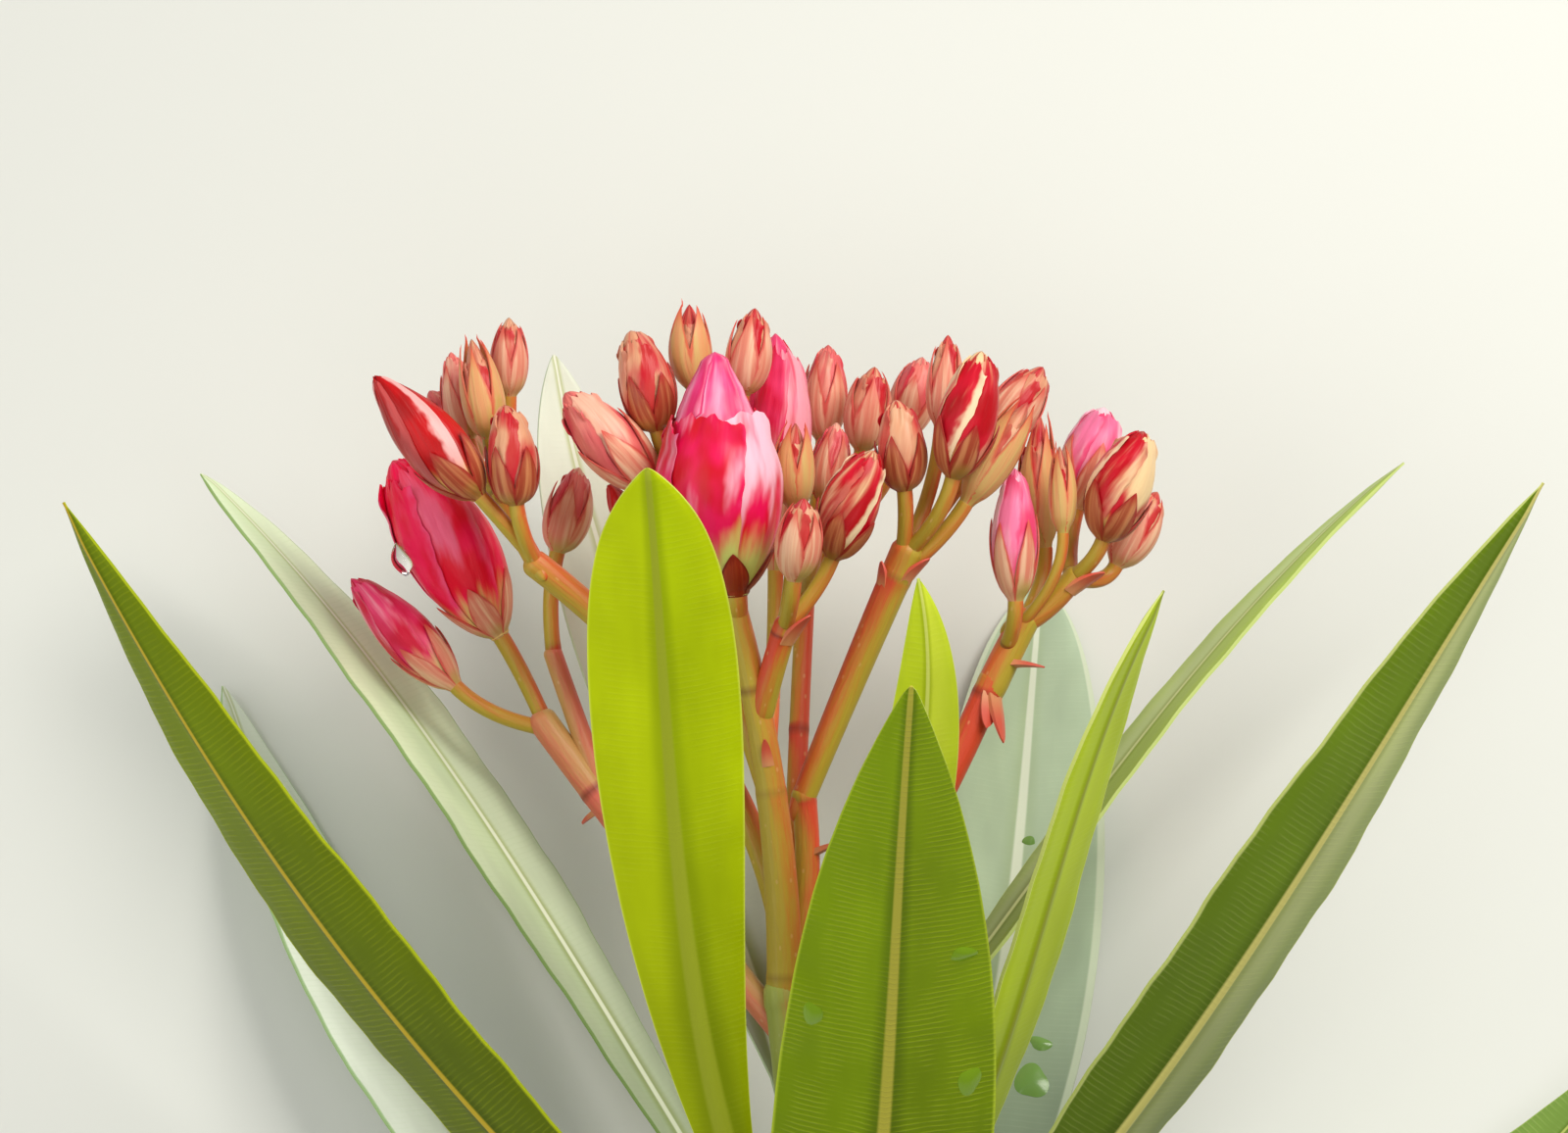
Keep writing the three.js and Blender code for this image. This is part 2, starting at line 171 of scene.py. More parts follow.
# %% [markdown]
# ## Surfaces as grids of numbers
#
# A leaf, a petal and a stalk are all sheets of rows and columns, so each can be worked out as one array.
# A tube has its columns in a ring. A blade is a middle surface that is doubled: one copy is moved half a
# thickness along the surface's normal, the other half a thickness against it, and the two are joined
# round the edge. Modelling by hand or a Solidify modifier could do the same, but here the thickness may
# change from rib to margin.
#
# Each point also keeps where it is on its own leaf or petal. The materials read that, so that a rib stays
# on the rib however the leaf bends.

# %% Small vector helpers
def unit(v):
    """A vector, or an array of them, divided by its own length."""
    v = np.asarray(v, float)
    return v / np.maximum(np.linalg.norm(v, axis=-1, keepdims=True), 1e-12)


def square_to(v, along):
    """The unit vector nearest to v that is square to the unit vector along."""
    along = np.asarray(along, float)
    v = np.broadcast_to(np.asarray(v, float), along.shape)
    return unit(v - np.sum(v * along, axis=-1, keepdims=True) * along)


def spokes(along, angle):
    """Unit vectors square to along, at angles round it. At the angle 0 a spoke points to the show side."""
    across = square_to((0, 0, 1), along)
    return across * np.cos(angle)[..., None] + np.cross(along, across) * np.sin(angle)[..., None]


def ease(x, low, high):
    """0 below low, 1 above high, and the smooth step 3s^2 - 2s^3 between."""
    s = np.clip((np.asarray(x, float) - low) / (high - low), 0, 1)
    return s * s * (3 - 2 * s)


def wobble(x, seed):
    """A gentle wave that doesn't repeat soon: three sines whose pitches have no common measure."""
    x = np.asarray(x, float)
    slow, quick = np.sin(2.3 * x + 1.7 * seed), np.sin(5.1 * x + 2.9 * seed)
    return (slow + 0.6 * quick + 0.35 * np.sin(11.7 * x + seed)) / 1.95


# %% Grids of parameters
def sheet_grid(rows, columns):
    """The grids of a sheet: u from 0 to 1 down the rows, and v from -1 to 1 along the columns."""
    return np.meshgrid(np.linspace(0, 1, rows), np.linspace(-1, 1, columns), indexing="ij")


def round_grid(rows, sides, first=0.0):
    """The grids of a round shape: a share from first to 1 down the rows, and the angle, once round."""
    angles = np.linspace(0, 2 * np.pi, sides, endpoint=False)
    return np.meshgrid(np.linspace(first, 1, rows), angles, indexing="ij")


def triples(a, b, c):
    """Three grids or numbers, spread to one shape and put together as vectors."""
    return np.stack(np.broadcast_arrays(a, b, c), axis=-1).astype(float)


# %% Curves
def quadratic(a, b, c):
    """The points and the unit tangents of the curve (1-t)^2 a + 2t(1-t) b + t^2 c, as a function of t."""
    a, b, c = (np.asarray(p, float) for p in (a, b, c))

    def at(t):
        t = np.asarray(t, float)[..., None]
        point = (1 - t) ** 2 * a + 2 * t * (1 - t) * b + t**2 * c
        return point, unit((1 - t) * (b - a) + t * (c - b))

    return at


def cubic_through(a, low, high, d):
    """The cubic curve from a to d that passes low at a third and high at two thirds of its way."""
    a, low, high, d = (np.asarray(p, float) for p in (a, low, high, d))
    b = (-5 * a + 18 * low - 9 * high + 2 * d) / 6
    c = (2 * a - 9 * low + 18 * high - 5 * d) / 6

    def at(t):
        t = np.asarray(t, float)[..., None]
        s = 1 - t
        point = s**3 * a + 3 * s**2 * t * b + 3 * s * t**2 * c + t**3 * d
        return point, unit(s**2 * (b - a) + 2 * s * t * (c - b) + t**2 * (d - c))

    return at


# %% Patches and pieces
# share: along 0 to 1, across -1 to 1, and one free value. place: millimetres along and across, and the side.
Patch = namedtuple("Patch", "points faces share place finish")
CREASE = math.radians(50)


def outwards(points, faces):
    """The faces of a closed patch, turned round if the volume that they enclose comes out negative."""
    fans = [[face[0], face[i], face[i + 1]] for face in faces for i in range(1, len(face) - 1)]
    a, b, c = np.moveaxis(points[np.array(fans)], 1, 0)
    volume = np.sum(np.cross(a, b) * c)
    return faces if volume > 0 else [face[::-1] for face in faces]


def ring_faces(rows, columns):
    """The four-cornered faces between the neighbouring points of a grid whose columns close in a ring."""
    i, j = np.meshgrid(np.arange(rows - 1), np.arange(columns), indexing="ij")
    a, b = i * columns + j, i * columns + (j + 1) % columns
    return np.stack([a, b, b + columns, a + columns], axis=-1).reshape(-1, 4).tolist()


def tube(points, share, place, finish=0):
    """A closed tube from a grid of rings, with a point in the middle of each end."""
    rows, columns = points.shape[:2]
    points, share, place = (
        np.concatenate([g.reshape(-1, 3), g[[0, -1]].mean(axis=1)]) for g in (points, share, place)
    )
    first, last, end = rows * columns, rows * columns + 1, (rows - 1) * columns
    around = np.arange(columns)
    after = (around + 1) % columns
    faces = ring_faces(rows, columns)
    faces += np.stack([np.full(columns, first), after, around], axis=-1).tolist()
    faces += np.stack([np.full(columns, last), end + around, end + after], axis=-1).tolist()
    return Patch(points, outwards(points, faces), share, place, finish)


def blade(middle, thickness, share, place, finish=0):
    """A closed blade: the middle surface, moved half its thickness to each side along its normal. The last
    part of place comes out as 1 on the one side and 0 on the other."""
    rows, columns = middle.shape[:2]
    normal = unit(np.cross(np.gradient(middle, axis=0), np.gradient(middle, axis=1)))
    lift = normal * (np.broadcast_to(thickness, (rows, columns)) / 2)[..., None]
    points = np.concatenate([middle + lift, (middle - lift)[:, ::-1]], axis=1)
    share, place = (np.concatenate([g, g[:, ::-1]], axis=1) for g in (share, place))
    place[:, :columns, 2] = 1
    place[:, columns:, 2] = 0
    j = np.arange(columns - 1)
    back = 2 * columns - 1
    end = (rows - 1) * 2 * columns
    faces = ring_faces(rows, 2 * columns)
    faces += np.stack([j + 1, j, back - j, back - j - 1], axis=-1).tolist()
    faces += (end + np.stack([j, j + 1, back - j - 1, back - j], axis=-1)).tolist()
    points, share, place = (g.reshape(-1, 3) for g in (points, share, place))
    return Patch(points, outwards(points, faces), share, place, finish)


def make_piece(name, patches, materials, slot, *nodes):
    """One object from its patches, laid down, riding on the body and standing for its CAD nodes."""
    starts = np.cumsum([0] + [len(patch.points) for patch in patches])
    points = lay_down(np.concatenate([patch.points for patch in patches]))
    faces = [[start + i for i in face] for start, patch in zip(starts, patches) for face in patch.faces]
    mesh = bpy.data.meshes.new(name)
    mesh.from_pydata(points.tolist(), [], faces)
    for material in materials:
        mesh.materials.append(material)
    finishes = np.concatenate([np.full(len(patch.faces), patch.finish) for patch in patches])
    mesh.polygons.foreach_set("material_index", finishes.astype(np.int32))
    for key in ("share", "place"):
        values = np.concatenate([getattr(patch, key) for patch in patches]).astype(np.float32)
        mesh.attributes.new(key, "FLOAT_VECTOR", "POINT").data.foreach_set("vector", values.ravel())
    mesh.shade_smooth()
    mesh.set_sharp_from_angle(angle=CREASE)
    mesh.update()
    piece = put_in_scene(name, mesh)
    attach(piece, "root")
    if nodes:
        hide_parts(*nodes)
    return piece


# %% [markdown]
# ## Shared effects
#
# Three effects come back on many materials, so each is a node group with named inputs and outputs: the
# markings of a leaf, the streaks of a petal, and the flecks of green bark. A group gives masks only. The
# colours and the shader stay in the materials, where they can be tuned for each leaf and bud.

# %% Node helpers
def colour(red, green, blue):
    """A colour given as it looks on a screen, 0 to 255, as the linear values that a shader takes."""
    c = np.array([red, green, blue]) / 255
    linear = np.where(c <= 0.04045, c / 12.92, ((c + 0.055) / 1.055) ** 2.4)
    return (*linear.tolist(), 1.0)


def feed_in(tree, socket, feed):
    """Links a socket to an input, or sets the input to a value."""
    if isinstance(feed, bpy.types.NodeSocket):
        tree.links.new(feed, socket)
    else:
        socket.default_value = feed


def add(tree, kind, *feeds, **settings):
    """One node with its settings. Each feed goes to the next input."""
    made = tree.nodes.new(kind)
    for key, value in settings.items():
        setattr(made, key, value)
    for socket, feed in zip(made.inputs, feeds):
        feed_in(tree, socket, feed)
    return made


def maths(tree, operation, *feeds):
    """The result of one Math node."""
    return add(tree, "ShaderNodeMath", *feeds, operation=operation).outputs[0]


def plus(tree, a, b):
    """a plus b."""
    return maths(tree, "ADD", a, b)


def times(tree, a, b):
    """a times b."""
    return maths(tree, "MULTIPLY", a, b)


def scaled(tree, value, factor, base):
    """The value times a factor, plus a base."""
    return maths(tree, "MULTIPLY_ADD", value, factor, base)


def between(tree, value, low, high):
    """A mask that rises smoothly from 0 at low to 1 at high, or falls where high is less than low."""
    span = (low, high, 0.0, 1.0) if low < high else (high, low, 1.0, 0.0)
    return add(tree, "ShaderNodeMapRange", value, *span, interpolation_type="SMOOTHSTEP").outputs[0]


def mix(tree, factor, a, b, blend="MIX"):
    """Two colours mixed by a factor."""
    made = add(tree, "ShaderNodeMix", factor, data_type="RGBA", blend_type=blend)
    feed_in(tree, made.inputs[6], a)
    feed_in(tree, made.inputs[7], b)
    return made.outputs[2]


def layer(tree, under, over, mask, strength, blend="MIX"):
    """One colour laid over another where the mask is high, at the given strength."""
    return mix(tree, times(tree, mask, strength), under, over, blend)


def split(tree, vector):
    """The three parts of a vector."""
    return add(tree, "ShaderNodeSeparateXYZ", vector).outputs


def stretched(tree, vector, stretch):
    """A vector multiplied part by part, to stretch the pattern that reads it."""
    return add(tree, "ShaderNodeVectorMath", vector, stretch, operation="MULTIPLY").outputs[0]


def noise(tree, vector, stretch, detail=2.0):
    """Smooth noise from 0 to 1 at a stretched vector."""
    made = add(tree, "ShaderNodeTexNoise", stretched(tree, vector, stretch))
    made.inputs["Scale"].default_value = 1.0
    made.inputs["Detail"].default_value = detail
    return made.outputs["Fac"]


# %% Opening and closing a node group
def open_group(name, *vectors, **numbers):
    """A new node group with vector inputs, and number inputs with their usual values."""
    group = bpy.data.node_groups.new(name, "ShaderNodeTree")
    for label in vectors:
        group.interface.new_socket(label, in_out="INPUT", socket_type="NodeSocketVector")
    for label, value in numbers.items():
        socket = group.interface.new_socket(label, in_out="INPUT", socket_type="NodeSocketFloat")
        socket.default_value = value
    return group, group.nodes.new("NodeGroupInput").outputs


def close_group(group, **results):
    """Gives the group one output for each result."""
    for label in results:
        group.interface.new_socket(label, in_out="OUTPUT", socket_type="NodeSocketFloat")
    end = group.nodes.new("NodeGroupOutput")
    for label, result in results.items():
        group.links.new(result, end.inputs[label])
    print("group", group.name, len(group.nodes), "nodes")


# %% Group: leaf markings
# Rib and margin are bands of the share across, and so is the wider band beside the rib that the leaf
# finish darkens as a painted shade in the groove. The side veins are fine straight lines that leave the rib
# steeply and lean a little towards the tip, 0.74 mm apart. Mottle is soft noise at about a centimetre.
RIM_SHARE = 0.03
leaf_markings, given = open_group(
    "leaf_markings", "Share", "Place", Spacing=0.74, Lean=0.12, Breadth=1.0, Border=0.965
)
g = leaf_markings
share_x, share_y, _ = split(g, given["Share"])
place_x, place_y, _ = split(g, given["Place"])
off_rib = maths(g, "ABSOLUTE", place_y)
slim = add(g, "ShaderNodeMapRange", share_x, 0.0, 1.0, 1.2, 0.25).outputs[0]
rib_place = maths(g, "DIVIDE", off_rib, times(g, slim, given["Breadth"]))
past_border = maths(g, "SUBTRACT", maths(g, "ABSOLUTE", share_y), given["Border"])
waver = times(g, noise(g, given["Place"], (0.2, 0.2, 0)), 0.8)
run = plus(g, maths(g, "SUBTRACT", place_x, times(g, off_rib, given["Lean"])), waver)
turns = times(g, maths(g, "DIVIDE", run, given["Spacing"]), 2 * math.pi)
wave = maths(g, "POWER", scaled(g, maths(g, "SINE", turns), 0.5, 0.5), 5.0)
fade = between(g, noise(g, given["Place"], (0.12, 0.3, 0)), 0.3, 0.62)
close_group(
    g,
    Rib=between(g, rib_place, 0.85, 0.45),
    Groove=between(g, rib_place, 2.6, 0.8),
    Margin=between(g, maths(g, "DIVIDE", past_border, RIM_SHARE), 0.0, 1.0),
    Veins=times(g, wave, fade),
    Mottle=noise(g, given["Place"], (0.06, 0.16, 1), 3.0),
)

# %% Group: petal streaks
# A petal's colour runs in long soft streaks from its foot, so the noise is stretched along the petal and
# shifted for each petal by the free value. Edge is the rim of the petal, and Tone a value of its own for
# each petal.
petal_streaks, given = open_group("petal_streaks", "Share", "Place", Fineness=1.1, Rim=0.75)
g = petal_streaks
_, share_y, petal_number = split(g, given["Share"])
shift = add(g, "ShaderNodeCombineXYZ", 0.0, 0.0, times(g, petal_number, 7.3)).outputs[0]
spot = add(g, "ShaderNodeVectorMath", given["Place"], shift, operation="ADD").outputs[0]
long_and_thin = add(g, "ShaderNodeCombineXYZ", 0.09, given["Fineness"], 1.0).outputs[0]
torn = scaled(g, noise(g, spot, (0.5, 0.9, 1)), 0.5, -0.25)
rim_place = maths(g, "SUBTRACT", plus(g, maths(g, "ABSOLUTE", share_y), torn), given["Rim"])
close_group(
    g,
    Streaks=noise(g, spot, long_and_thin, 3.0),
    Clouds=noise(g, spot, (0.16, 0.22, 1)),
    Edge=between(g, rim_place, 0.0, 0.22),
    Tone=maths(g, "FRACT", times(g, petal_number, 0.618)),
)

# %% Group: bark flecks
# Green bark has fine lengthwise fibres and scattered pale breathing pores.
bark_flecks, given = open_group("bark_flecks", "Place")
g = bark_flecks
pore = add(g, "ShaderNodeTexVoronoi", stretched(g, given["Place"], (0.5, 1.0, 1.0)))
pore.inputs["Scale"].default_value = 0.9
close_group(
    g,
    Fibres=noise(g, given["Place"], (0.25, 2.6, 2.6), 3.0),
    Pores=between(g, pore.outputs["Distance"], 0.16, 0.08),
)


# %% A material that reads share and place
def new_material(name, roughness, **constants):
    """A material, its tree, and the two attributes that every piece carries."""
    material = plain_material(name, roughness, **constants)
    tree = material.node_tree
    share = add(tree, "ShaderNodeAttribute", attribute_name="share").outputs["Vector"]
    place = add(tree, "ShaderNodeAttribute", attribute_name="place").outputs["Vector"]
    return material, tree, share, place


def use_group(tree, group, **feeds):
    """A node group placed in a material, with its inputs linked or set by name."""
    made = tree.nodes.new("ShaderNodeGroup")
    made.node_tree = group
    for label, feed in feeds.items():
        feed_in(tree, made.inputs[label], feed)
    return made.outputs


def coat(tree, skin, height, depth, strength=1.0, roughness=None):
    """The shader's colour, a bump of a depth in metres and, where one is given, its uneven roughness."""
    shader = tree.nodes["Principled BSDF"]
    bump = tree.nodes.new("ShaderNodeBump")
    bump.inputs["Distance"].default_value = depth
    bump.inputs["Strength"].default_value = strength
    tree.links.new(height, bump.inputs["Height"])
    tree.links.new(bump.outputs[0], shader.inputs["Normal"])
    tree.links.new(skin, shader.inputs["Base Color"])
    if roughness is not None:
        tree.links.new(roughness, shader.inputs["Roughness"])


# %% [markdown]
# ## Stem and flower stalks
#
# The stem is green. From its top node the flower stalks fork again and again, each with a swollen ring
# where it parts. Their sunny side has turned coral red, and below a ring the red goes all round. Each
# stalk is a profile carried along a curve: the radius tapers, and swells at the rings. The red is worked
# out from where each point of the ring faces, and from how far it is below a ring, so it is kept with
# the mesh and not painted on.

# %% Sizes of the stem and the stalks
SPREAD = 0.5
RING_SWELL = 0.05
STEM = {"start": (0, 0, 0), "bend": (0.8, 38, 0), "tip": (-4.3, 75.5, 0), "foot": 3.2, "end": 2.25}

# name, carrier, share of the carrier where it starts, bend, tip, radius at foot and at tip, redness, the
# side that reddens (1 right, -1 left), and the shares of its own length where it has a ring
STALKS = [
    ("peduncle_centre", "stem", 1, (-4.2, 97, 1), (-9.6, 118.3, 4), 2.1, 1.4, 0.14, 1, (0.03, 0.52, 0.8)),
    ("peduncle_right_foot", "stem", 0.97, (-0.6, 86, -4.5), (-2, 97.6, -3.6), 1.5, 1.4, 0.55, 1, (0.97,)),
    ("peduncle_upper_left", "stem", 0.96, (-4, 102, -7), (-32.4, 123.9, 0), 1.3, 1.6, 0.5, 1, (0.82,)),
    ("peduncle_lower_left", "stem", 0.94, (-19.6, 88.9, -9), (-32, 105.8, -12), 1.6, 1.7, 0.5, -1, (0.76,)),
    ("peduncle_far_right_foot", "stem", 0.93, (9.8, 87.8, -9), (19.7, 110.5, -8), 1.6, 1.7, 1.25, 1, (0.96,)),
    ("peduncle_back", "stem", 0.95, (-2.9, 101, -12), (-1.5, 124.6, -14), 1.2, 1.1, 0.9, 1, (0.6,)),
    ("peduncle_right", "peduncle_right_foot", 1, (3.3, 110.5, -3), (9.7, 125.3, 0),
     1.4, 1.9, 0.45, -1, (0.9,)),
    ("peduncle_far_right", "peduncle_far_right_foot", 1, (21.5, 114, -8), (23.4, 117.5, -8),
     1.8, 1.7, 0.45, -1, ()),
    ("branch_far_right", "peduncle_far_right", 1, (26.5, 119, -8), (29.1, 122.5, -7.5), 1.4, 1.3, 0.4, 1, ()),
    ("branch_centre", "peduncle_centre", 0.75, (-5.7, 111.5, 4.6), (-4, 117, 6.5), 1.4, 1.4, 0.6, -1, (0.9,)),
    ("branch_centre_left", "peduncle_centre", 0.52, (-10.6, 112, -4), (-14.1, 128, -4), 1.2, 1.3, 0.5, 1, ()),
    ("branch_left_top", "peduncle_upper_left", 1, (-34.8, 128, -3), (-36.6, 131.8, -4.6),
     1.1, 1.1, 0.7, 1, ()),
    ("branch_left_back", "peduncle_lower_left", 0.76, (-28.6, 107, -12), (-30.8, 113.6, -11),
     1.2, 1.1, 0.8, 1, ()),
]
SUNNY = unit((0.9, 0.1, 0.15))
TUBE_SIDES = 28
TUBE_ROWS = 56
RING_REACH = 0.6
FOOT_REACH = 2.4
END_REACH = 0.8

limbs = {"stem": (quadratic(STEM["start"], STEM["bend"], STEM["tip"]), STEM["foot"], STEM["end"])}


def start_on(carrier, share, aim):
    """The point where a piece starts inside its carrier: off its axis by a share of its radius, towards aim,
    and nearly on the axis where the carrier ends, so that the one carries on from the other."""
    curve, foot, end = limbs[carrier]
    point, along = curve(share)
    off = SPREAD * (1 - 0.8 * ease(share, 0.9, 1.0)) * (foot + (end - foot) * share)
    return point + square_to(np.asarray(aim, float) - point, along) * off


for name, carrier, share, bend, tip, foot, end, *_ in STALKS:
    limbs[name] = (quadratic(start_on(carrier, share, bend), bend, tip), foot, end)
print("limbs:", len(limbs))

# %% The surface of a limb
# where the rings of an end cap lie on a quarter of an egg
CAP_ANGLES = np.radians((12, 30, 48, 64, 78, 88))
BLUSH_FADE = 2.6
RING_LINE = 0.2


def limb_patch(
    curve, foot, end, redness, rings,
    sunny=1, finish=0, rows=TUBE_ROWS, caps=(1, 1), swell=RING_SWELL, sunk=FOOT_REACH,
):
    """A tube round a curve. The radius goes evenly from foot to end, times 1 plus a bell-shaped swelling at
    each ring, and each end closes in half an egg, so that it sinks into its neighbour. share holds the way
    along, and the redness from -1 to 1; its free value is 1 at the dark line of a ring."""
    t = np.linspace(0, 1, rows)
    centre, along = curve(t)
    length = np.sum(np.linalg.norm(np.diff(centre, axis=0), axis=1))
    radius = foot + (end - foot) * t
    red, line = np.zeros(rows), np.zeros(rows)
    for place in rings:
        gap = (t - place) * length
        radius = radius * (1 + swell * np.exp(-((gap / RING_REACH) ** 2)))
        red = np.maximum(red, (gap < RING_LINE) * np.exp(-np.abs(np.minimum(gap, 0)) / BLUSH_FADE))
        line = np.maximum(line, np.exp(-(((gap - RING_LINE / 2) / RING_LINE) ** 2)))
    foot_cap = sunk * radius[0] * caps[0] * np.sin(CAP_ANGLES[::-1])
    end_cap = END_REACH * radius[-1] * caps[1] * np.sin(CAP_ANGLES)
    below, above = centre[0] - along[0] * foot_cap[:, None], centre[-1] + along[-1] * end_cap[:, None]
    centre = np.concatenate([below, centre, above])
    first, last = np.cos(CAP_ANGLES[::-1] * caps[0]), np.cos(CAP_ANGLES * caps[1])
    radius = np.concatenate([radius[0] * first, radius, radius[-1] * last])
    pad = ((len(CAP_ANGLES), len(CAP_ANGLES)),)
    along = np.pad(along, (*pad, (0, 0)), mode="edge")
    t, red, line = (np.pad(row, pad, mode="edge")[:, None] for row in (t, red, line))
    way = spokes(along[:, None], np.linspace(0, 2 * np.pi, TUBE_SIDES, endpoint=False))
    spoke = way * radius[:, None, None]
    blush = way @ (SUNNY * (sunny, 1, 1)) * 0.8 + (redness - 0.7) + 1.5 * red * redness
    share = triples(t, np.clip(blush, -1, 1), line)
    place = triples(t * length, spoke[..., 0], spoke[..., 1])
    return tube(centre[:, None] + spoke, share, place, finish)


# %% [markdown]
# A bract is a tiny pointed leaf that stands out at a ring. It is a blade with the outline of a spear
# head, bent outwards.

# %% Bracts
# stalk, share along it, angle round it in degrees (0 faces the camera, 90 right), length, spread, width
BRACTS = [
    ("peduncle_centre", 0.6, 4, 3.6, 8, 1.0),
    ("peduncle_right_foot", 0.72, 68, 4.2, 64, 1.5),
    ("peduncle_far_right_foot", 0.97, 62, 4.6, 148, 2.8),
    ("peduncle_far_right_foot", 0.97, 30, 3.4, 164, 2.4),
    ("peduncle_far_right", 0.35, 66, 3.4, 60, 2.0),
    ("peduncle_lower_left", 0.72, -140, 3.8, 74, 1.8),
    ("peduncle_upper_left", 0.82, -40, 3.2, 24, 2.0),
    ("peduncle_right", 0.86, -60, 3.0, 12, 1.8),
    ("peduncle_right", 0.9, 62, 4.4, 12, 2.2),
    ("branch_centre", 0.85, 55, 5.0, 12, 2.2),
    ("branch_far_right", 0.8, 58, 5.0, 10, 2.2),
]
BRACT_SEAT = 0.86
BRACT_BEND = 0.12
BRACT_KEEL = 0.25


def bract_patch(curve, radius, share, angle, length, spread, width):
    """A spear-shaped blade off a limb's side: half width (1-u)^0.7 (1+u), keeled, bent outwards with u^2."""
    u, v = sheet_grid(14, 9)
    centre, along = curve(share)
    out = spokes(along, np.radians(angle))
    lean = math.radians(spread)
    bend = BRACT_BEND * length * u**2
    keel = BRACT_KEEL * width * np.abs(v) * (1 - u)
    rise = u * length * math.cos(lean) - bend
    stand = u * length * math.sin(lean) + bend - keel + BRACT_SEAT * radius
    half = 0.5 * width * (1 - u) ** 0.7 * (1 + u) + 0.05
    middle = centre + out * stand[..., None] + along * rise[..., None]
    middle = middle + np.cross(along, out) * (v * half)[..., None]
    return blade(middle, 0.75 - 0.6 * u, triples(u, v, 0.5), triples(u * length, v * half, 0), 1)


# %% [markdown]
# The bark is nearly smooth, with fine fibres and a few pale breathing pores. One finish serves the stem and
# all the stalks, in other colours for each. The blush kept in the mesh chooses between the shaded and the
# sunny colour, so no mask has to be drawn.

# %% Finishes of stem, stalks and bracts
RING_SHADE = colour(104, 42, 22)


def stalk_finish(name, shade, sun, fleck):
    """Green or olive bark that turns coral where the piece's redness is high, dark in the line of a ring."""
    material, tree, share, place = new_material(name, 0.4, Specular_IOR_Level=0.35)
    _, blush, line = split(tree, share)
    bark = use_group(tree, bark_flecks, Place=place)
    uneven = scaled(tree, bark["Fibres"], 1.1, -0.55)
    skin = mix(tree, between(tree, plus(tree, blush, uneven), -0.75, 0.95), shade, sun)
    skin = layer(tree, skin, fleck, bark["Pores"], 0.35)
    skin = layer(tree, skin, RING_SHADE, line, 0.75)
    coat(tree, skin, bark["Fibres"], 0.12 * MM)
    return material


def bract_finish(name, foot, tip):
    """A bract's skin: pale at the foot, red to the tip, with fine lengthwise lines."""
    material, tree, share, place = new_material(name, 0.5)
    along, _, _ = split(tree, share)
    streaks = use_group(tree, petal_streaks, Share=share, Place=place)["Streaks"]
    risen = plus(tree, along, times(tree, streaks, 0.5))
    coat(tree, mix(tree, between(tree, risen, 0.25, 0.95), foot, tip), streaks, 0.1 * MM)
    return material


bark_stem = stalk_finish("bark_stem", colour(166, 174, 82), colour(214, 110, 66), colour(196, 200, 126))
bark_stalk = stalk_finish("bark_stalk", colour(184, 160, 54), colour(214, 74, 48), colour(226, 180, 124))
bark_pale = stalk_finish("bark_pale", colour(204, 162, 98), colour(220, 104, 88), colour(236, 196, 160))
bract_skin = bract_finish("bract_skin", colour(212, 140, 96), colour(212, 84, 66))
PALE_STALKS = ("peduncle_lower_left", "branch_left_back")

# %% Finish of the cut across the stem
PITH, WOOD, RIND, CELL = (
    colour(226, 226, 188), colour(196, 206, 140), colour(112, 132, 62), colour(160, 158, 100)
)
cut_face, tree, share, place = new_material("cut_face", 0.6)
_, across, _ = split(tree, share)
cells = noise(tree, place, (3, 3, 3), 3.0)
rings = mix(tree, between(tree, across, 0.3, 0.42), PITH, WOOD)
rings = mix(tree, between(tree, across, 0.86, 0.93), rings, RIND)
coat(tree, layer(tree, rings, CELL, cells, 0.3), cells, 0.15 * MM)
print("bark, bract and cut finishes made")

# %% Build stem and stalks
LEAF_NODES = (0.16, 0.31, 0.44, 0.72)
TOP_RING = 0.985
CUT_SHARE = 0.985
CUT_BELOW, CUT_ABOVE = 0.04, 0.3


def cut_patch(curve, radius, finish):
    """A thin lens across the stem's foot. share is the distance from the middle as a share of the radius."""
    r, angle = round_grid(12, 40, 0.02)
    centre, along = curve(0.0)
    spoke = spokes(along, angle) * (r * radius)[..., None]
    disc = centre + spoke * CUT_SHARE
    points = np.concatenate([disc - along * CUT_BELOW, (disc + along * CUT_ABOVE)[::-1]])
    r = np.concatenate([r, r[::-1]])
    return tube(points, triples(r, r, r), np.concatenate([spoke, spoke[::-1]]), finish)


curve, foot, end = limbs["stem"]
stem_patches = [
    limb_patch(curve, foot, end, 0.15, (*LEAF_NODES, TOP_RING), rows=110, caps=(0, 1), swell=0.07),
    cut_patch(curve, foot, 2),
]
make_piece("stem", stem_patches, [bark_stem, bract_skin, cut_face], "stem", "stem")

for name, carrier, share, bend, tip, foot, end, redness, sunny, ring_shares in STALKS:
    curve = limbs[name][0]
    patches = [limb_patch(curve, foot, end, redness, ring_shares, sunny)]
    for limb, at, *shape in BRACTS:
        if limb == name:
            patches.append(bract_patch(curve, foot + (end - foot) * at, at, *shape))
    bark = bark_pale if name in PALE_STALKS else bark_stalk
    make_piece(name, patches, [bark, bract_skin], "stalk", name)
print("stem and", len(STALKS), "stalks")

# %% [markdown]
# ## Leaves
#
# Oleander leaves are narrow, leathery and pointed, with one strong rib and very fine side veins. A flat
# strip with a texture would look like paper, so each leaf is a blade of its own: its halves fold up from
# the rib, the rib stands out below and lies in a groove above, and the margin waves a little. The rib
# follows a curve through four places. The outline is s^a (1-s)^b, which gives a blunt or a drawn-out tip.

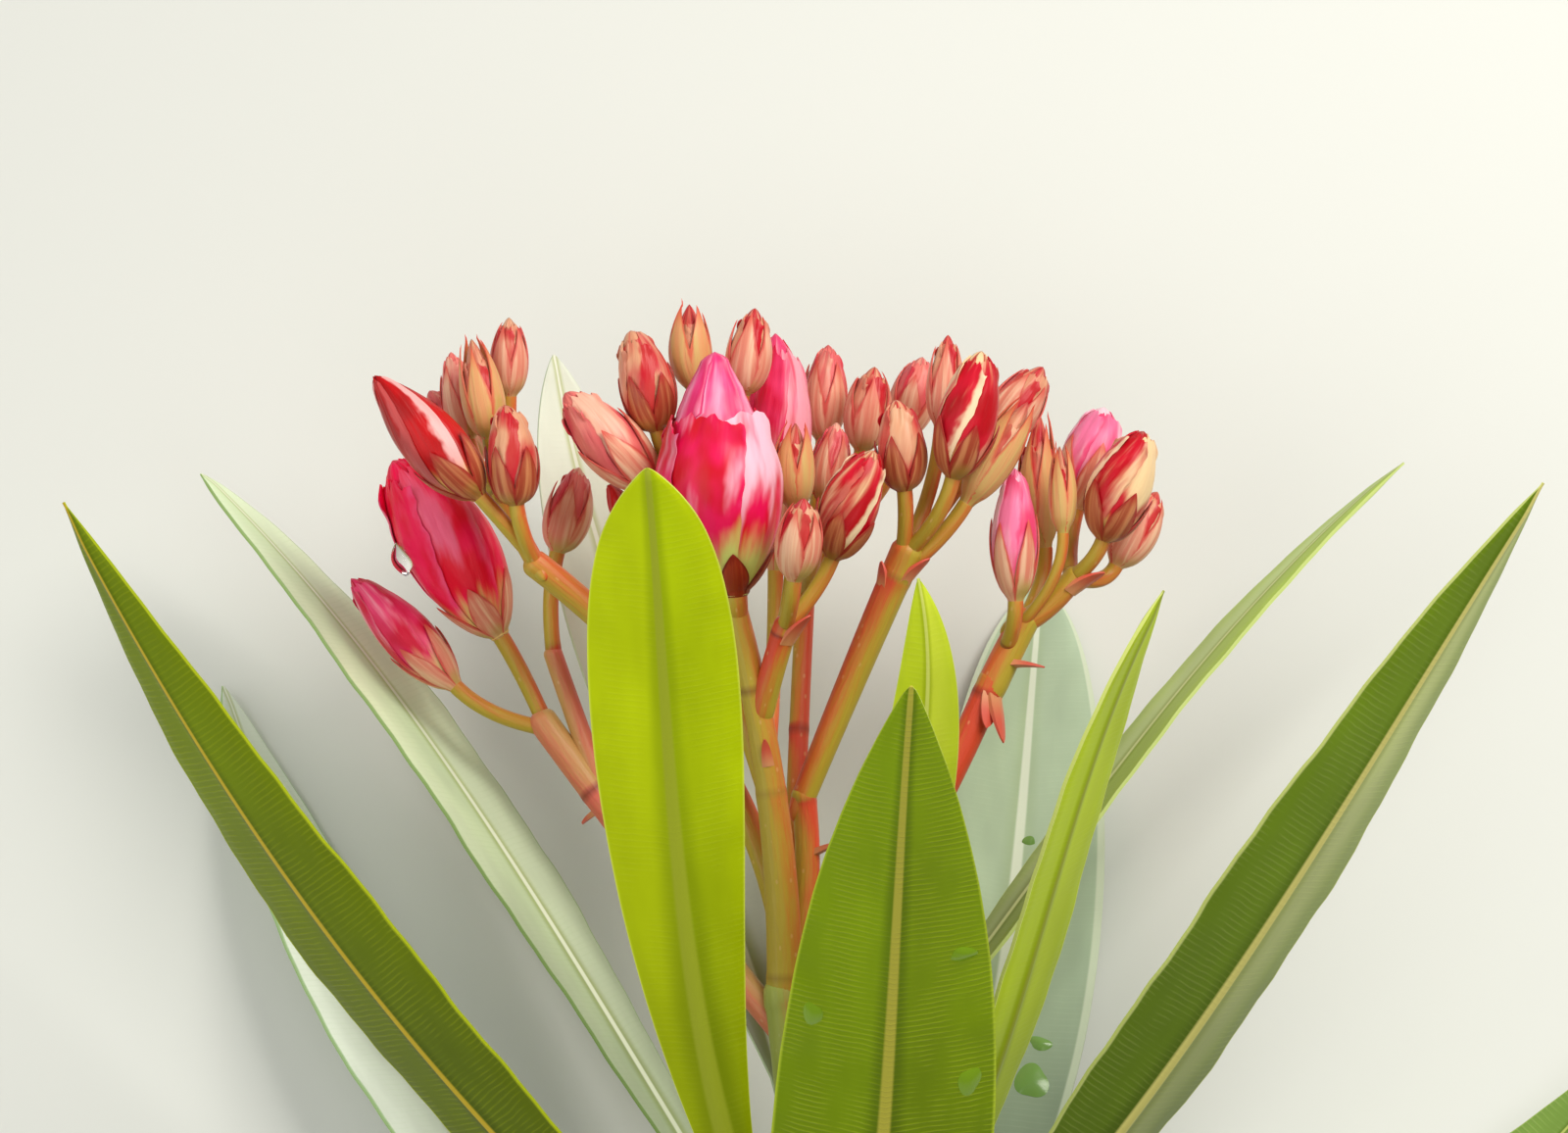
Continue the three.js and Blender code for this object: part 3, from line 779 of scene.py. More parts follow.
# %% Sizes of the leaves
LEAVES = [
    # name, colours, height on the stem, width, widest, blunt, fold,
    # the rib at a third, at two thirds and at the tip, and where the upper side faces
    ("leaf_front_right", "front_right", 12, 25, 0.42, 0.6, 8,
     (5.5, 45.9, 13), (7.6, 79.5, 36), (9, 111.2, 64), (0, 0.4, -0.9)),
    ("leaf_left_low", "hind_pale", 12, 19, 0.52, 0.75, 4,
     (-27.5, 40.5, -9), (-52.1, 71.8, -22), (-71.3, 109.3, -41.2), (0.68, 0.4, 0.66)),
    ("leaf_low_right", "low_right", 12, 19, 0.5, 0.8, 10,
     (31, 21, -4), (66, 41, -10), (95, 68.5, -18), (-0.4, 0.7, 0.5)),
    ("leaf_far_left", "far_left", 24, 18.5, 0.45, 0.95, 12,
     (-36.3, 60.1, 8), (-62.4, 94, 15), (-83.7, 130.7, 20), (0.68, 0.56, -0.44)),
    ("leaf_far_right", "far_right", 24, 22, 0.47, 0.95, 9,
     (31, 57.4, 8), (56.1, 94.8, 16), (79.1, 132.8, 24), (-0.68, 0.5, -0.6)),
    ("leaf_back_wide", "hind_wide", 24, 21.5, 0.55, 0.5, 5,
     (16, 53.4, -13), (22.9, 85.7, -29), (26.7, 121, -45.85), (0, 0.4, 0.9)),
    ("leaf_front_left", "front_left", 32, 16.5, 0.72, 0.5, 6,
     (-12.2, 65.9, 13), (-16.6, 101, 30), (-18.7, 134, 50), (0, 0.4, -0.9)),
    ("leaf_left_pale", "left_pale", 34, 17, 0.58, 0.7, 3,
     (-23, 69.6, -6), (-45.6, 103.5, -16), (-72.7, 134.5, -27), (0.74, 0.55, 0.36)),
    ("leaf_right_narrow", "narrow_bright", 32, 13, 0.55, 0.8, -3,
     (16.6, 60.4, 11), (25.9, 91.1, 24), (36.6, 121, 38), (-0.84, 0.27, -0.46)),
    ("leaf_front_small", "small_bright", 54, 9.2, 0.53, 0.75, 10,
     (4.6, 76.2, 9), (10.4, 99.7, 22), (10.3, 122.3, 34), (-0.1, 0.4, -0.9)),
    ("leaf_back_right", "back_right", 54, 11.5, 0.5, 0.8, 4,
     (20.1, 81.6, -6), (41.8, 109.3, -14), (68.1, 135.7, -22), (-0.72, 0.64, 0.24)),
    ("leaf_back_left", "hind_white", 54, 14, 0.6, 0.7, 8,
     (-10.8, 84.5, -11), (-22.6, 115.6, -25), (-31.5, 148.7, -34), (0.2, 0.4, 0.9)),
]
# how much a tip is drawn out, and over how many millimetres
TIPS = {"leaf_front_right": (0.56, 16), "leaf_front_left": (0.6, 4)}
PLAIN_TIP = (0.2, 3)
# folds in degrees of the halves with v above and below 0, where they differ
FOLDS = {"leaf_far_left": (-6, 20)}
PETIOLE_WIDTH = 2.6
PETIOLE_SHARE = 0.06
LEAF_TIP_WIDTH = 0.3
BLADE_THICKNESS = 0.55
MARGIN_THICKNESS = 0.32
LEAST_THICKNESS = 0.08
RIB_HEIGHT = 0.55
RIB_WIDTH = 0.75
RIB_SUNK = 0.32
PETIOLE_THICKNESS = 1.5
WAVE = 0.028
WAVE_LENGTH = 11
print("leaves:", len(LEAVES))


# %% The surface of a leaf
def stem_at(height):
    """The point on the stem's axis at a height above the cut."""
    points = limbs["stem"][0](np.linspace(0, 1, 61))[0]
    return points[np.argmin(np.abs(points[:, 1] - height))]


def leaf_half_width(t, width, widest, blunt, drawn, reach, length):
    """Half the width along the leaf: s^(blunt w/(1-w)) (1-s)^blunt, scaled to its largest value at s = w.
    The last millimetres are drawn to a point: times 1 - drawn e^(-d/reach), with d the way to the tip."""
    s = np.clip((t - PETIOLE_SHARE) / (1 - PETIOLE_SHARE), 0, 1)
    rise = blunt * widest / (1 - widest)
    largest = widest**rise * (1 - widest) ** blunt
    half = width / 2 * s**rise * (1 - s) ** blunt / largest
    half = half * (1 - drawn * np.exp(-(1 - t) * length / reach))
    return np.maximum(half, np.where(t < 0.5, PETIOLE_WIDTH / 2, LEAF_TIP_WIDTH / 2))


def leaf_patch(name, height, width, widest, blunt, fold, low, high, tip, facing, seed):
    """A leaf on a grid of t along and v across. A point is the rib's point, plus v times the half width
    across, plus a rise of |v| times the sine of the fold, rounded at the rib, plus small waves at the margin.
    The rows stand closer at the tip, and the columns closer at the margins."""
    t = np.concatenate([np.linspace(0, 0.9, 80), 1 - 0.1 * np.linspace(1, 0, 25)[1:] ** 1.5])
    even = np.linspace(-1, 1, 33)
    centre, along = cubic_through(stem_at(height), low, high, tip)(t)
    upper = square_to(facing, along)
    across = np.cross(along, upper)
    run = np.concatenate([[0], np.cumsum(np.linalg.norm(np.diff(centre, axis=0), axis=1))])[:, None]
    half = leaf_half_width(t, width, widest, blunt, *TIPS.get(name, PLAIN_TIP), run[-1])[:, None]
    t, v = np.meshgrid(t, np.sin(even * np.pi / 2) * 0.5 + even * 0.5, indexing="ij")
    lift = np.radians(np.where(v > 0, *FOLDS.get(name, (fold, fold))))
    folded = np.sqrt(v**2 + 0.02) - math.sqrt(0.02)
    waves = WAVE * half * v**2 * wobble(run / WAVE_LENGTH, seed + np.sign(v))
    cupped = 0.06 * math.sin(2 * math.radians(fold)) * half * (v**2 - 0.5)
    slim = 1 - 0.75 * t
    rib = RIB_HEIGHT * slim * np.exp(-((v * half / (RIB_WIDTH * (0.5 + 0.5 * slim))) ** 2))
    rise = folded * half * np.sin(lift) + waves + cupped
    sunk = RIB_SUNK * rib * ease(t, 0.05, 0.2)
    flat = v * half * np.cos(lift)
    middle = centre[:, None] + across[:, None] * flat[..., None] + upper[:, None] * rise[..., None]
    middle = middle - upper[:, None] * sunk[..., None]
    body = MARGIN_THICKNESS + (BLADE_THICKNESS - MARGIN_THICKNESS) * (1 - ease(np.abs(v), 0.75, 1))
    thick = body * ease(half, 0, 1.6) + LEAST_THICKNESS + rib
    oval = np.sqrt(np.clip(1.02 - v**2, 0, 1))
    thick = thick + (PETIOLE_THICKNESS - thick) * (1 - ease(t, 0.05, 0.16)) * oval
    return blade(middle, thick, triples(t, v, 0), triples(run, v * half, 0))


# %% [markdown]
# The lower side of a leaf is paler. One half of the side seen has a colour of its own where it turns to the
# sky: a painted sky sheen where it is paler, and a painted shade where it is darker. The finish also darkens
# each leaf towards its foot and along the groove beside the rib, both painted shade. A photograph laid on the
# leaf would fit one view only. So the finish mixes a few plain colours by the leaf markings and by the side
# that each point is on, and each leaf of the shoot has colours of its own.

# %% Finish of a leaf
LEAF_GLOSS = 0.42
# the colour that darkens the groove beside the rib, a painted shade
GROOVE_PAINTED_SHADE = colour(206, 210, 150)


def leaf_finish(name, lower, upper, rib, margin, half, vein, breadth=1.0, border=0.965, foot_shade=0.36, dip=0.75):
    """Leathery skin. The lower and the upper side have their own green, and one half of the side seen has
    its own where it turns to the sky: a painted sky sheen where that colour is paler, a painted shade where
    it is darker. The skin darkens towards the foot, a painted shade. Rib, groove, margin and side veins come
    from the leaf markings, and the groove beside the rib is darkened as a painted shade."""
    material, tree, share, place = new_material(f"leaf_{name}", LEAF_GLOSS, Specular_IOR_Level=0.13)
    along, across, _ = split(tree, share)
    _, _, side = split(tree, place)
    marks = use_group(tree, leaf_markings, Share=share, Place=place, Breadth=breadth, Border=border)
    # the half with the share across below 0 takes the half colour, a painted sky sheen where it is paler and
    # a painted shade where it is darker, weaker towards the margin
    inner = scaled(tree, between(tree, across, -0.35, -0.9), -0.55, 1.0)
    turned = times(tree, between(tree, across, 0.04, -0.04), inner)
    skin = mix(tree, turned, mix(tree, side, upper, lower), half)
    # painted shade: the colour darkens towards the leaf's foot
    foot_shaded = scaled(tree, between(tree, along, 0.3, 0.8), foot_shade, 1 - foot_shade)
    shade = times(tree, scaled(tree, marks["Mottle"], 0.5, 0.78), foot_shaded)
    grey = add(tree, "ShaderNodeCombineColor", shade, shade, shade).outputs[0]
    skin = mix(tree, 1.0, skin, grey, "MULTIPLY")
    skin = layer(tree, skin, margin, marks["Veins"], vein)
    # painted shade in the groove beside the rib
    skin = layer(tree, skin, GROOVE_PAINTED_SHADE, marks["Groove"], dip, "MULTIPLY")
    skin = layer(tree, skin, rib, marks["Rib"], 0.9)
    skin = layer(tree, skin, margin, marks["Margin"], 0.7)
    worn = scaled(tree, marks["Mottle"], 0.25, LEAF_GLOSS - 0.12)
    coat(tree, skin, marks["Veins"], 0.06 * MM, min(1.0, 3 * vein), worn)
    return material


# lower side, upper side, rib, margin, the half with v below 0 on either side (painted sky sheen where
# it is paler, painted shade where it is darker), how strong the side veins are
LEAF_LOOKS = {
    "front_right": [(130, 158, 2), (112, 142, 40), (188, 180, 68), (196, 214, 60), (126, 152, 2), 0.28],
    "front_left": [(188, 206, 4), (150, 176, 40), (160, 170, 44), (222, 230, 90), (178, 198, 2), 0.05],
    "small_bright": [(196, 214, 40), (150, 176, 40), (214, 222, 110), (226, 232, 130), (206, 220, 60), 0.05],
    "narrow_bright": [(178, 200, 20), (150, 176, 40), (150, 160, 40), (226, 232, 140), (190, 210, 48), 0.05],
    "far_left": [(112, 130, 0), (108, 132, 30), (206, 176, 40), (178, 190, 24), (110, 130, 0), 0.2],
    "far_right": [(104, 131, 20), (108, 136, 40), (216, 206, 120), (206, 214, 130), (188, 198, 128), 0.09],
    # the pale upper colours of left_pale, hind_pale, hind_wide and hind_white are the waxy upper side with a
    # painted sky sheen
    "left_pale": [(122, 152, 50), (224, 238, 204), (238, 244, 222), (136, 172, 80), (214, 232, 190), 0.06],
    "hind_pale": [(132, 160, 80), (236, 243, 230), (242, 246, 232), (136, 180, 90), (230, 238, 222), 0.05],
    "hind_wide": [(130, 160, 90), (176, 196, 168), (226, 234, 214), (222, 232, 208), (178, 198, 166), 0.04],
    "back_right": [(138, 166, 40), (168, 194, 80), (206, 214, 150), (206, 218, 140), (188, 206, 138), 0.05],
    "hind_white": [(142, 168, 90), (222, 228, 212), (234, 238, 222), (212, 226, 196), (222, 228, 212), 0.04],
    "low_right": [(104, 134, 50), (116, 146, 66), (190, 200, 110), (180, 198, 120), (116, 146, 66), 0.2],
}
# where a leaf differs in the rib's breadth, the start of the pale border, the painted shade at the foot, and
# the dip of the painted shade in the groove
LEAF_WAYS = {
    "front_right": {"breadth": 1.4, "dip": 1.0},
    "front_left": {"breadth": 1.7},
    "small_bright": {"breadth": 0.6},
    "narrow_bright": {"foot_shade": 0.12},
    "far_right": {"breadth": 1.6},
    "hind_wide": {"breadth": 1.8, "border": 0.9, "dip": 0.2},
}
leaf_materials = {}

for key, (*tones, vein) in LEAF_LOOKS.items():
    leaf_materials[key] = leaf_finish(key, *(colour(*c) for c in tones), vein, **LEAF_WAYS.get(key, {}))
print("leaf finishes:", len(leaf_materials))

# %% Build the leaves
GREEN = ("front_right", "far_left", "far_right", "back_right")
YOUNG = ("front_left", "small_bright", "narrow_bright")
leaf_patches = {}

for number, (name, look, *shape) in enumerate(LEAVES):
    slot = "leaf_green" if look in GREEN else "leaf_young" if look in YOUNG else "leaf_pale"
    leaf_patches[name] = leaf_patch(name, *shape, seed=number)
    make_piece(name, [leaf_patches[name]], [leaf_materials[look]], slot, name)
print("leaves built:", len(leaf_patches))

# %% [markdown]
# ## Buds
#
# An oleander bud is five petals wrapped round each other in a spiral, each with one edge under its
# neighbour and one edge over. Five pointed sepals hold them at the foot. On a young bud the sepals still
# cover nearly all, and on an old one the petals stand far out of them.
#
# A lathe shape would lose those edges, so every petal is a blade of its own. Its radius grows from one
# edge to the other, which makes the overlap, and its angle turns with the height, which makes the
# spiral. Inside sits a core that closes the tip.

# %% Sizes of the buds
BUDS = {
    # dress, carrier, share, foot, tip, radius, widest, turn in degrees
    "left": [
        ("red", "peduncle_upper_left", 0.99, (-38.5, 131.5, 3), (-50.4, 145, 4), 3.5, 0.42, 92),
        ("pink_tan", "branch_left_top", 1, (-40.2, 138, -5.4), (-42.3, 148.1, -5.8), 1.9, 0.4, 0),
        ("green_tan", "branch_left_top", 0.9, (-37.6, 138, -1), (-39.7, 149.4, -0.6), 2.1, 0.38, 30),
        ("tan", "branch_left_top", 1, (-35.6, 143, -4.8), (-35.6, 152, -4.6), 1.9, 0.42, 10),
        ("opening", "peduncle_upper_left", 1, (-34.4, 130.6, 3.7), (-35.7, 141.8, 4.7), 2.7, 0.4, 0),
        ("pink_tan", "branch_left_top", 0.95, (-39.4, 135, -9.6), (-45, 143.8, -10.6), 2.6, 0.45, 50),
        ("crimson", "peduncle_lower_left", 1, (-36.9, 115.6, -12.5), (-49.3, 135.8, -12), 5.3, 0.5, 35),
        ("rose", "peduncle_lower_left", 0.98, (-42.1, 109.8, -13), (-54.3, 122.2, -15), 2.9, 0.45, 10),
        ("pink_tan", "branch_left_back", 1, (-30.3, 125.2, -11), (-27.8, 135, -11), 2.4, 0.42, 25),
    ],
    "centre": [
        ("opening_rose", "branch_centre_left", 0.97, (-19.4, 133, 1.2), (-29, 143.2, 2.5), 3.2, 0.42, 40),
        ("opening", "branch_centre_left", 1, (-18.6, 139, 0.4), (-21.6, 150.3, 1), 2.9, 0.42, 5),
        ("green_tan", "branch_centre_left", 1, (-14.4, 143.5, -2.6), (-15, 153.4, -2.4), 2.1, 0.42, 0),
        ("tan", "branch_centre_left", 0.95, (-9, 143, -0.8), (-7.5, 152.9, -0.4), 2.3, 0.42, 20),
        ("bloom", "peduncle_centre", 1, (-9.7, 120.4, 5), (-12, 147.7, 7.5), 6.5, 0.5, 18),
        ("rose", "peduncle_centre", 0.62, (-5.2, 123, -7), (-5.2, 150.3, -8), 3.7, 0.6, 60),
        ("green_tan", "branch_centre", 0.96, (-2.9, 130, 1), (-2.9, 139.8, 1.4), 2.1, 0.42, 10),
        ("pink_tan", "peduncle_back", 0.92, (0.3, 131, -3.4), (1.8, 140, -3.2), 2, 0.42, 0),
        ("striped", "branch_centre", 1, (1.2, 124.6, 7), (5.8, 136.6, 9), 3.2, 0.45, 30),
        ("tan", "branch_centre", 1, (-3.1, 122, 11.4), (-2, 131.2, 13.4), 2.3, 0.45, 15),
        ("pink_tan", "peduncle_back", 1, (0.3, 138, -14), (0.9, 149.2, -14), 2.3, 0.45, 0),
        ("tan", "peduncle_back", 0.97, (4.7, 136.8, -10), (6.2, 146.5, -9), 2.4, 0.45, 40),
        ("pink_tan", "peduncle_back", 1, (9.6, 138.6, -14.5), (11.8, 147.8, -14.5), 2.4, 0.45, 30),
        ("red", "branch_centre_left", 0.88, (-21.4, 128, -3.4), (-24.2, 132.9, -3.4), 1.4, 0.42, 0),
    ],
    "right": [
        ("tan", "peduncle_right", 1, (13.7, 139.5, -4.4), (14.5, 150, -4.4), 1.8, 0.42, 25),
        ("striped", "peduncle_right", 1, (14.8, 133.6, 4.6), (18, 147.8, 6.4), 3.3, 0.45, 55),
        ("tan", "peduncle_right", 0.97, (19, 137.4, -6), (25.4, 146.4, -6.2), 2.7, 0.45, 10),
        ("green_tan", "peduncle_right", 0.94, (16.3, 130.6, 0.4), (23.4, 142.2, 0.4), 2.1, 0.45, 0),
        ("opening", "peduncle_right", 0.98, (9.4, 132.2, 2.6), (8.4, 142.4, 3.6), 2.6, 0.42, 10),
    ],
    "far_right": [
        ("pale", "peduncle_far_right", 0.55, (22.2, 119.6, -4.6), (22.1, 134.8, -4.4), 2.5, 0.45, 0),
        ("pale", "branch_far_right", 0.95, (29.6, 130.2, -14), (32.8, 142, -14.6), 3.4, 0.5, 45),
        ("striped", "branch_far_right", 1, (32.2, 126.6, -5), (36.8, 139, -4), 3.5, 0.45, 60),
        ("tan", "branch_far_right", 0.98, (33.9, 123.6, -11), (38.8, 132.2, -12), 2.3, 0.45, 20),
        ("green_tan", "peduncle_far_right", 0.98, (25.8, 125.6, -11.2), (25.2, 141.1, -11.2), 2, 0.42, 0),
        ("green_tan", "peduncle_far_right", 0.9, (27.6, 127.5, -4.6), (27.2, 137.3, -4.6), 1.3, 0.4, 15),
    ],
}
PEDICEL_RADIUS = 0.9
PEDICEL_REACH = 1.2
PEDICEL_RINGS = (0.05,)
PETAL_THICKNESS = 0.22
# from one petal or sepal to the next, and half of what a petal wraps, in degrees
PETAL_STEP = 72
PETAL_HALF = 60
# how wide the core is as a share of the bud's profile, on most buds and on one with a neck
CORE = 0.86
NECK_CORE = 0.79

# How a bud is dressed: how far its petals and its sepals reach as shares of its length, how far the
# sepals' tips stand off, the petals' turn in degrees over the length, how deep their upper edge dips, how
# blunt the bud is (small is blunt) and how torn its petals' edges are.
Dress = namedtuple("Dress", "petal sepal petal_reach sepal_reach flare twist dip blunt torn slot")
SEPAL_TURNS = {"bud_centre_5": 66}
DRESSES = {
    "red": Dress("red", "brown_red", 1.0, 0.4, 0.04, 70, 0.05, 0.74, 0.8, "bud_pink"),
    "crimson": Dress("crimson", "tan_rose", 0.98, 0.3, 0.03, 60, 0.08, 0.6, 2.1, "bud_pink"),
    "rose": Dress("rose", "tan_rose", 0.98, 0.42, 0.06, 60, 0.08, 0.68, 1.4, "bud_pink"),
    "pale": Dress("pale", "tan_rose", 0.98, 0.64, 0.08, 50, 0.08, 0.64, 1.4, "bud_pink"),
    "bloom": Dress("bloom", "dark_red", 0.77, 0.2, 0.03, 40, 0.08, 0.6, 1.2, "bud_pink"),
    "striped": Dress("striped", "brown_red", 0.98, 0.48, 0.08, 66, 0.1, 0.56, 1.8, "bud_pink"),
    "opening": Dress("cream_red", "brown_red", 0.97, 0.6, 0.1, 60, 0.12, 0.52, 2.0, "bud_tan"),
    "opening_rose": Dress("soft", "tan_rose", 0.97, 0.6, 0.1, 60, 0.12, 0.52, 2.0, "bud_tan"),
    "tan": Dress("cream_red", "tan_rose", 0.93, 0.9, 0.12, 40, 0.1, 0.62, 1.8, "bud_tan"),
    "pink_tan": Dress("soft", "tan_rose", 0.96, 0.82, 0.1, 40, 0.1, 0.62, 1.6, "bud_tan"),
    "green_tan": Dress("cream_red", "green_tan", 0.8, 1.0, 0.32, 30, 0.1, 0.74, 1.6, "bud_tan"),
}
BOW = 0.035
LAP = 0.06
SEPAL_HALF = math.radians(39)
SEPAL_FOOT = 0.4


# %% The surfaces of a bud
def bud_profile(s, widest, blunt):
    """The bud's radius along its axis, as a share of the widest: sin(pi s^p)^blunt, kept open at the foot."""
    s = np.clip(s, 0, 1)
    body = np.maximum(np.sin(np.pi * s ** (math.log(0.5) / math.log(widest))), 0) ** blunt
    return np.maximum(body, (0.18 - 0.16 * s) * (1 - ease(s, 0.9, 1.0)) + 0.02)


def on_bud(axes, s, angle, radius):
    """Points at a share s along the bud's slightly bowed axis, at an angle round it and a radius off it."""
    foot, length, along, bow = axes
    bent = bow * np.sin(np.pi * np.clip(s, 0, 1))[..., None]
    return foot + along * (s * length)[..., None] + bent + spokes(along, angle) * radius[..., None]


def petal_patch(axes, radius, widest, dress, number, turned, seed, tuck):
    """One wrapped petal. Its angle is its own place, plus v times its half wrap, plus a turn that grows with
    the height. Its radius is the bud's profile, times 1 plus a lap that grows with v. Its top edge is an arch
    with a torn hem, no two of them equally high, and its free edge stands out a little there. Slow waves
    crease it. tuck draws the hem in to the neck of an open bud."""
    u, v = sheet_grid(40, 25)
    ragged = 0.02 * dress.torn * u**5 * wobble(4.6 * v, seed + number)
    own = 1 - 0.022 * dress.torn * (1 + wobble(2.4 * number, seed))
    s = dress.petal_reach * own * u * (1 - dress.dip * v**2 * u**2 + ragged)
    hem = 3 * dress.torn * u * v**3 * wobble(5 * u, seed + 2 * number)
    angle = np.radians(turned + PETAL_STEP * number + dress.twist * s + PETAL_HALF * v + hem)
    creased = 0.016 * dress.torn * wobble(4 * v + 2.5 * u, seed + 3 * number) * (0.2 + u)
    size = radius * bud_profile(s, widest, dress.blunt) * (0.965 + LAP * v + creased)
    size = size * (1 - tuck * ease(u, 0.6, 1.0))
    size = size + 0.08 * dress.torn * radius * ease(u, 0.84, 1) * ease(v, 0.1, 1)
    middle = on_bud(axes, s, angle, np.maximum(size, 0.05))
    place = triples(s * axes[1], v * radius, 0)
    return blade(middle, PETAL_THICKNESS * (1 - 0.6 * v**8), triples(s, v, number + seed), place)


def core_patch(axes, radius, widest, dress, turned, seed, neck=None):
    """What the petals wrap: a spindle with five shallow spiral steps, a little inside the bud's profile. A
    neck makes its upper part a straight cone, as on a bud whose inner petals stand out of the outer ones."""
    s, angle = round_grid(60, 45)
    step = (5 * angle / (2 * np.pi) - dress.twist * s / PETAL_STEP - turned / PETAL_STEP) % 1
    inside = NECK_CORE if neck else CORE
    size = radius * bud_profile(s, widest, dress.blunt) * (inside + 0.07 * step)
    if neck:
        foot_share, tip_share, start = neck
        cone = foot_share + (tip_share - foot_share) * (s - start) / (1 - start)
        cone = cone * (1 + 0.1 * step + 0.05 * wobble(9 * s, seed)) * np.sqrt(1 - ease(s, 0.955, 1.0) ** 2)
        size = np.where(s > start - 0.1, np.minimum(size, radius * cone), size)
    points = on_bud(axes, s, angle, np.maximum(size, 0.03))
    # the free value gives the core a tone of its own, and with it how much painted highlight its upper part
    # gets
    share = triples(s, 1.6 * step - 0.8, seed + 0.3)
    return tube(points, share, triples(s * axes[1], step * radius * 1.2, 1), 3 if neck else 0)


def sepal_patch(axes, radius, widest, dress, number, first_angle, seed, base):
    """One pointed sepal on the bud's side. To each side of its keel it covers 39 degrees times (1-u)^0.85,
    more in its middle and on young buds. It starts inside the end of the bud's stalk, and lifts its tip off
    the bud. A slow wave over the sepals' numbers gives each its own length and lean."""
    u, v = sheet_grid(26, 13)
    own = wobble(number * 2.1, seed)
    reach = dress.sepal_reach * (1 + 0.1 * own)
    flare = dress.flare * (1 + 1.1 * wobble(number * 3.3, seed + 5))
    below = SEPAL_FOOT / axes[1]
    s = (reach + below) * u - below
    under = np.maximum(radius * bud_profile(s, widest, dress.blunt), base * (1 - ease(u, 0.15, 0.5)))
    young = 1 + 0.3 * ease(reach, 0.6, 0.8)
    turn_out = SEPAL_HALF * young * (1 - u) ** 0.85 * (1 + 0.25 * np.sin(np.pi * u))
    angle = np.radians(first_angle + PETAL_STEP * number + 7 * own) + v * turn_out
    size = under * 1.02 - 0.3 * base * (1 - ease(u, 0, 0.14)) + 0.16 * ease(u, 0.02, 0.2)
    size = size + 0.05 * radius * (1 - np.abs(v)) * (1 - u) * u * 2 + flare * radius * u**3
    place = triples(s * axes[1], v * turn_out * under, 0)
    return blade(on_bud(axes, s, angle, size), 0.3 - 0.18 * u, triples(u, v, number + seed), place, 1)


def pedicel_patch(start, foot, tip, thick, base, rings):
    """The bud's own short stalk, which curves into line with the bud and widens under the sepals."""
    elbow = foot - unit(tip - foot) * 0.45 * np.linalg.norm(foot - start)
    curve = quadratic(start, elbow, foot)
    return limb_patch(curve, thick, base, 0.4, rings, finish=2, rows=26, sunk=PEDICEL_REACH)


# %% [markdown]
# Petals are satin: deep red in soft clouds, pale in long streaks that are partly their own and partly a
# painted highlight, paler high up on some petals as a painted highlight, and with a light rim on some of
# them.
# Sepals are duller, striped lengthwise, and red at margin and tip. Both finishes read the petal streaks. The
# number of a petal shifts the noise, so that no two petals of a bud are alike.

# %% Finishes of petals and sepals
def petal_finish(name, foot, body, deep, light, rim, starts, streak_highlight_share, fineness, rim_start):
    """Satin petal skin: its foot colour, then the body colour, deeper in clouds, light in streaks that are
    partly the petal's own and partly a painted highlight, and a painted highlight high on the petals whose
    own tone is low, with a rim along the free edge, strongest where the tone is high."""
    material, tree, share, place = new_material(
        f"petal_{name}", 0.38, Sheen_Weight=0.03, Specular_IOR_Level=0.28
    )
    along, _, _ = split(tree, share)
    marks = use_group(tree, petal_streaks, Share=share, Place=place, Fineness=fineness, Rim=rim_start)
    skin = mix(tree, between(tree, marks["Clouds"], 0.38, 0.62), body, deep)
    # painted highlight: the upper half of the petals whose own tone is low turns pale
    high = times(tree, between(tree, marks["Tone"], 0.3, 0.06), between(tree, along, 0.3, 0.6))
    # pale streaks, partly the petal's own and partly a painted highlight
    lit = between(tree, plus(tree, marks["Streaks"], times(tree, high, 0.3)), 0.52, 0.8)
    skin = layer(tree, skin, light, lit, streak_highlight_share)
    edged = scaled(tree, between(tree, marks["Tone"], 0.48, 0.6), 0.75, 0.15)
    skin = layer(tree, skin, rim, marks["Edge"], edged)
    risen = plus(tree, along, scaled(tree, marks["Streaks"], 0.5, -0.25))
    skin = mix(tree, between(tree, risen, starts - 0.1, starts + 0.1), foot, skin)
    coat(tree, skin, marks["Streaks"], 0.3 * MM)
    return material


def sepal_finish(name, foot, face, stripe, margin, tip):
    """A sepal's skin: its foot colour, a face with lengthwise stripes, and a thin margin and a tip in red."""
    material, tree, share, place = new_material(f"sepal_{name}", 0.42, Specular_IOR_Level=0.35)
    along, _, _ = split(tree, share)
    marks = use_group(tree, petal_streaks, Share=share, Place=place, Fineness=1.9, Rim=0.7)
    skin = mix(tree, between(tree, marks["Streaks"], 0.36, 0.68), face, stripe)
    skin = mix(tree, between(tree, plus(tree, along, marks["Clouds"]), 0.42, 0.75), foot, skin)
    skin = layer(tree, skin, margin, marks["Edge"], 0.8)
    skin = mix(tree, between(tree, along, 0.72, 1.0), skin, tip)
    coat(tree, skin, marks["Streaks"], 0.2 * MM, 0.9)
    return material


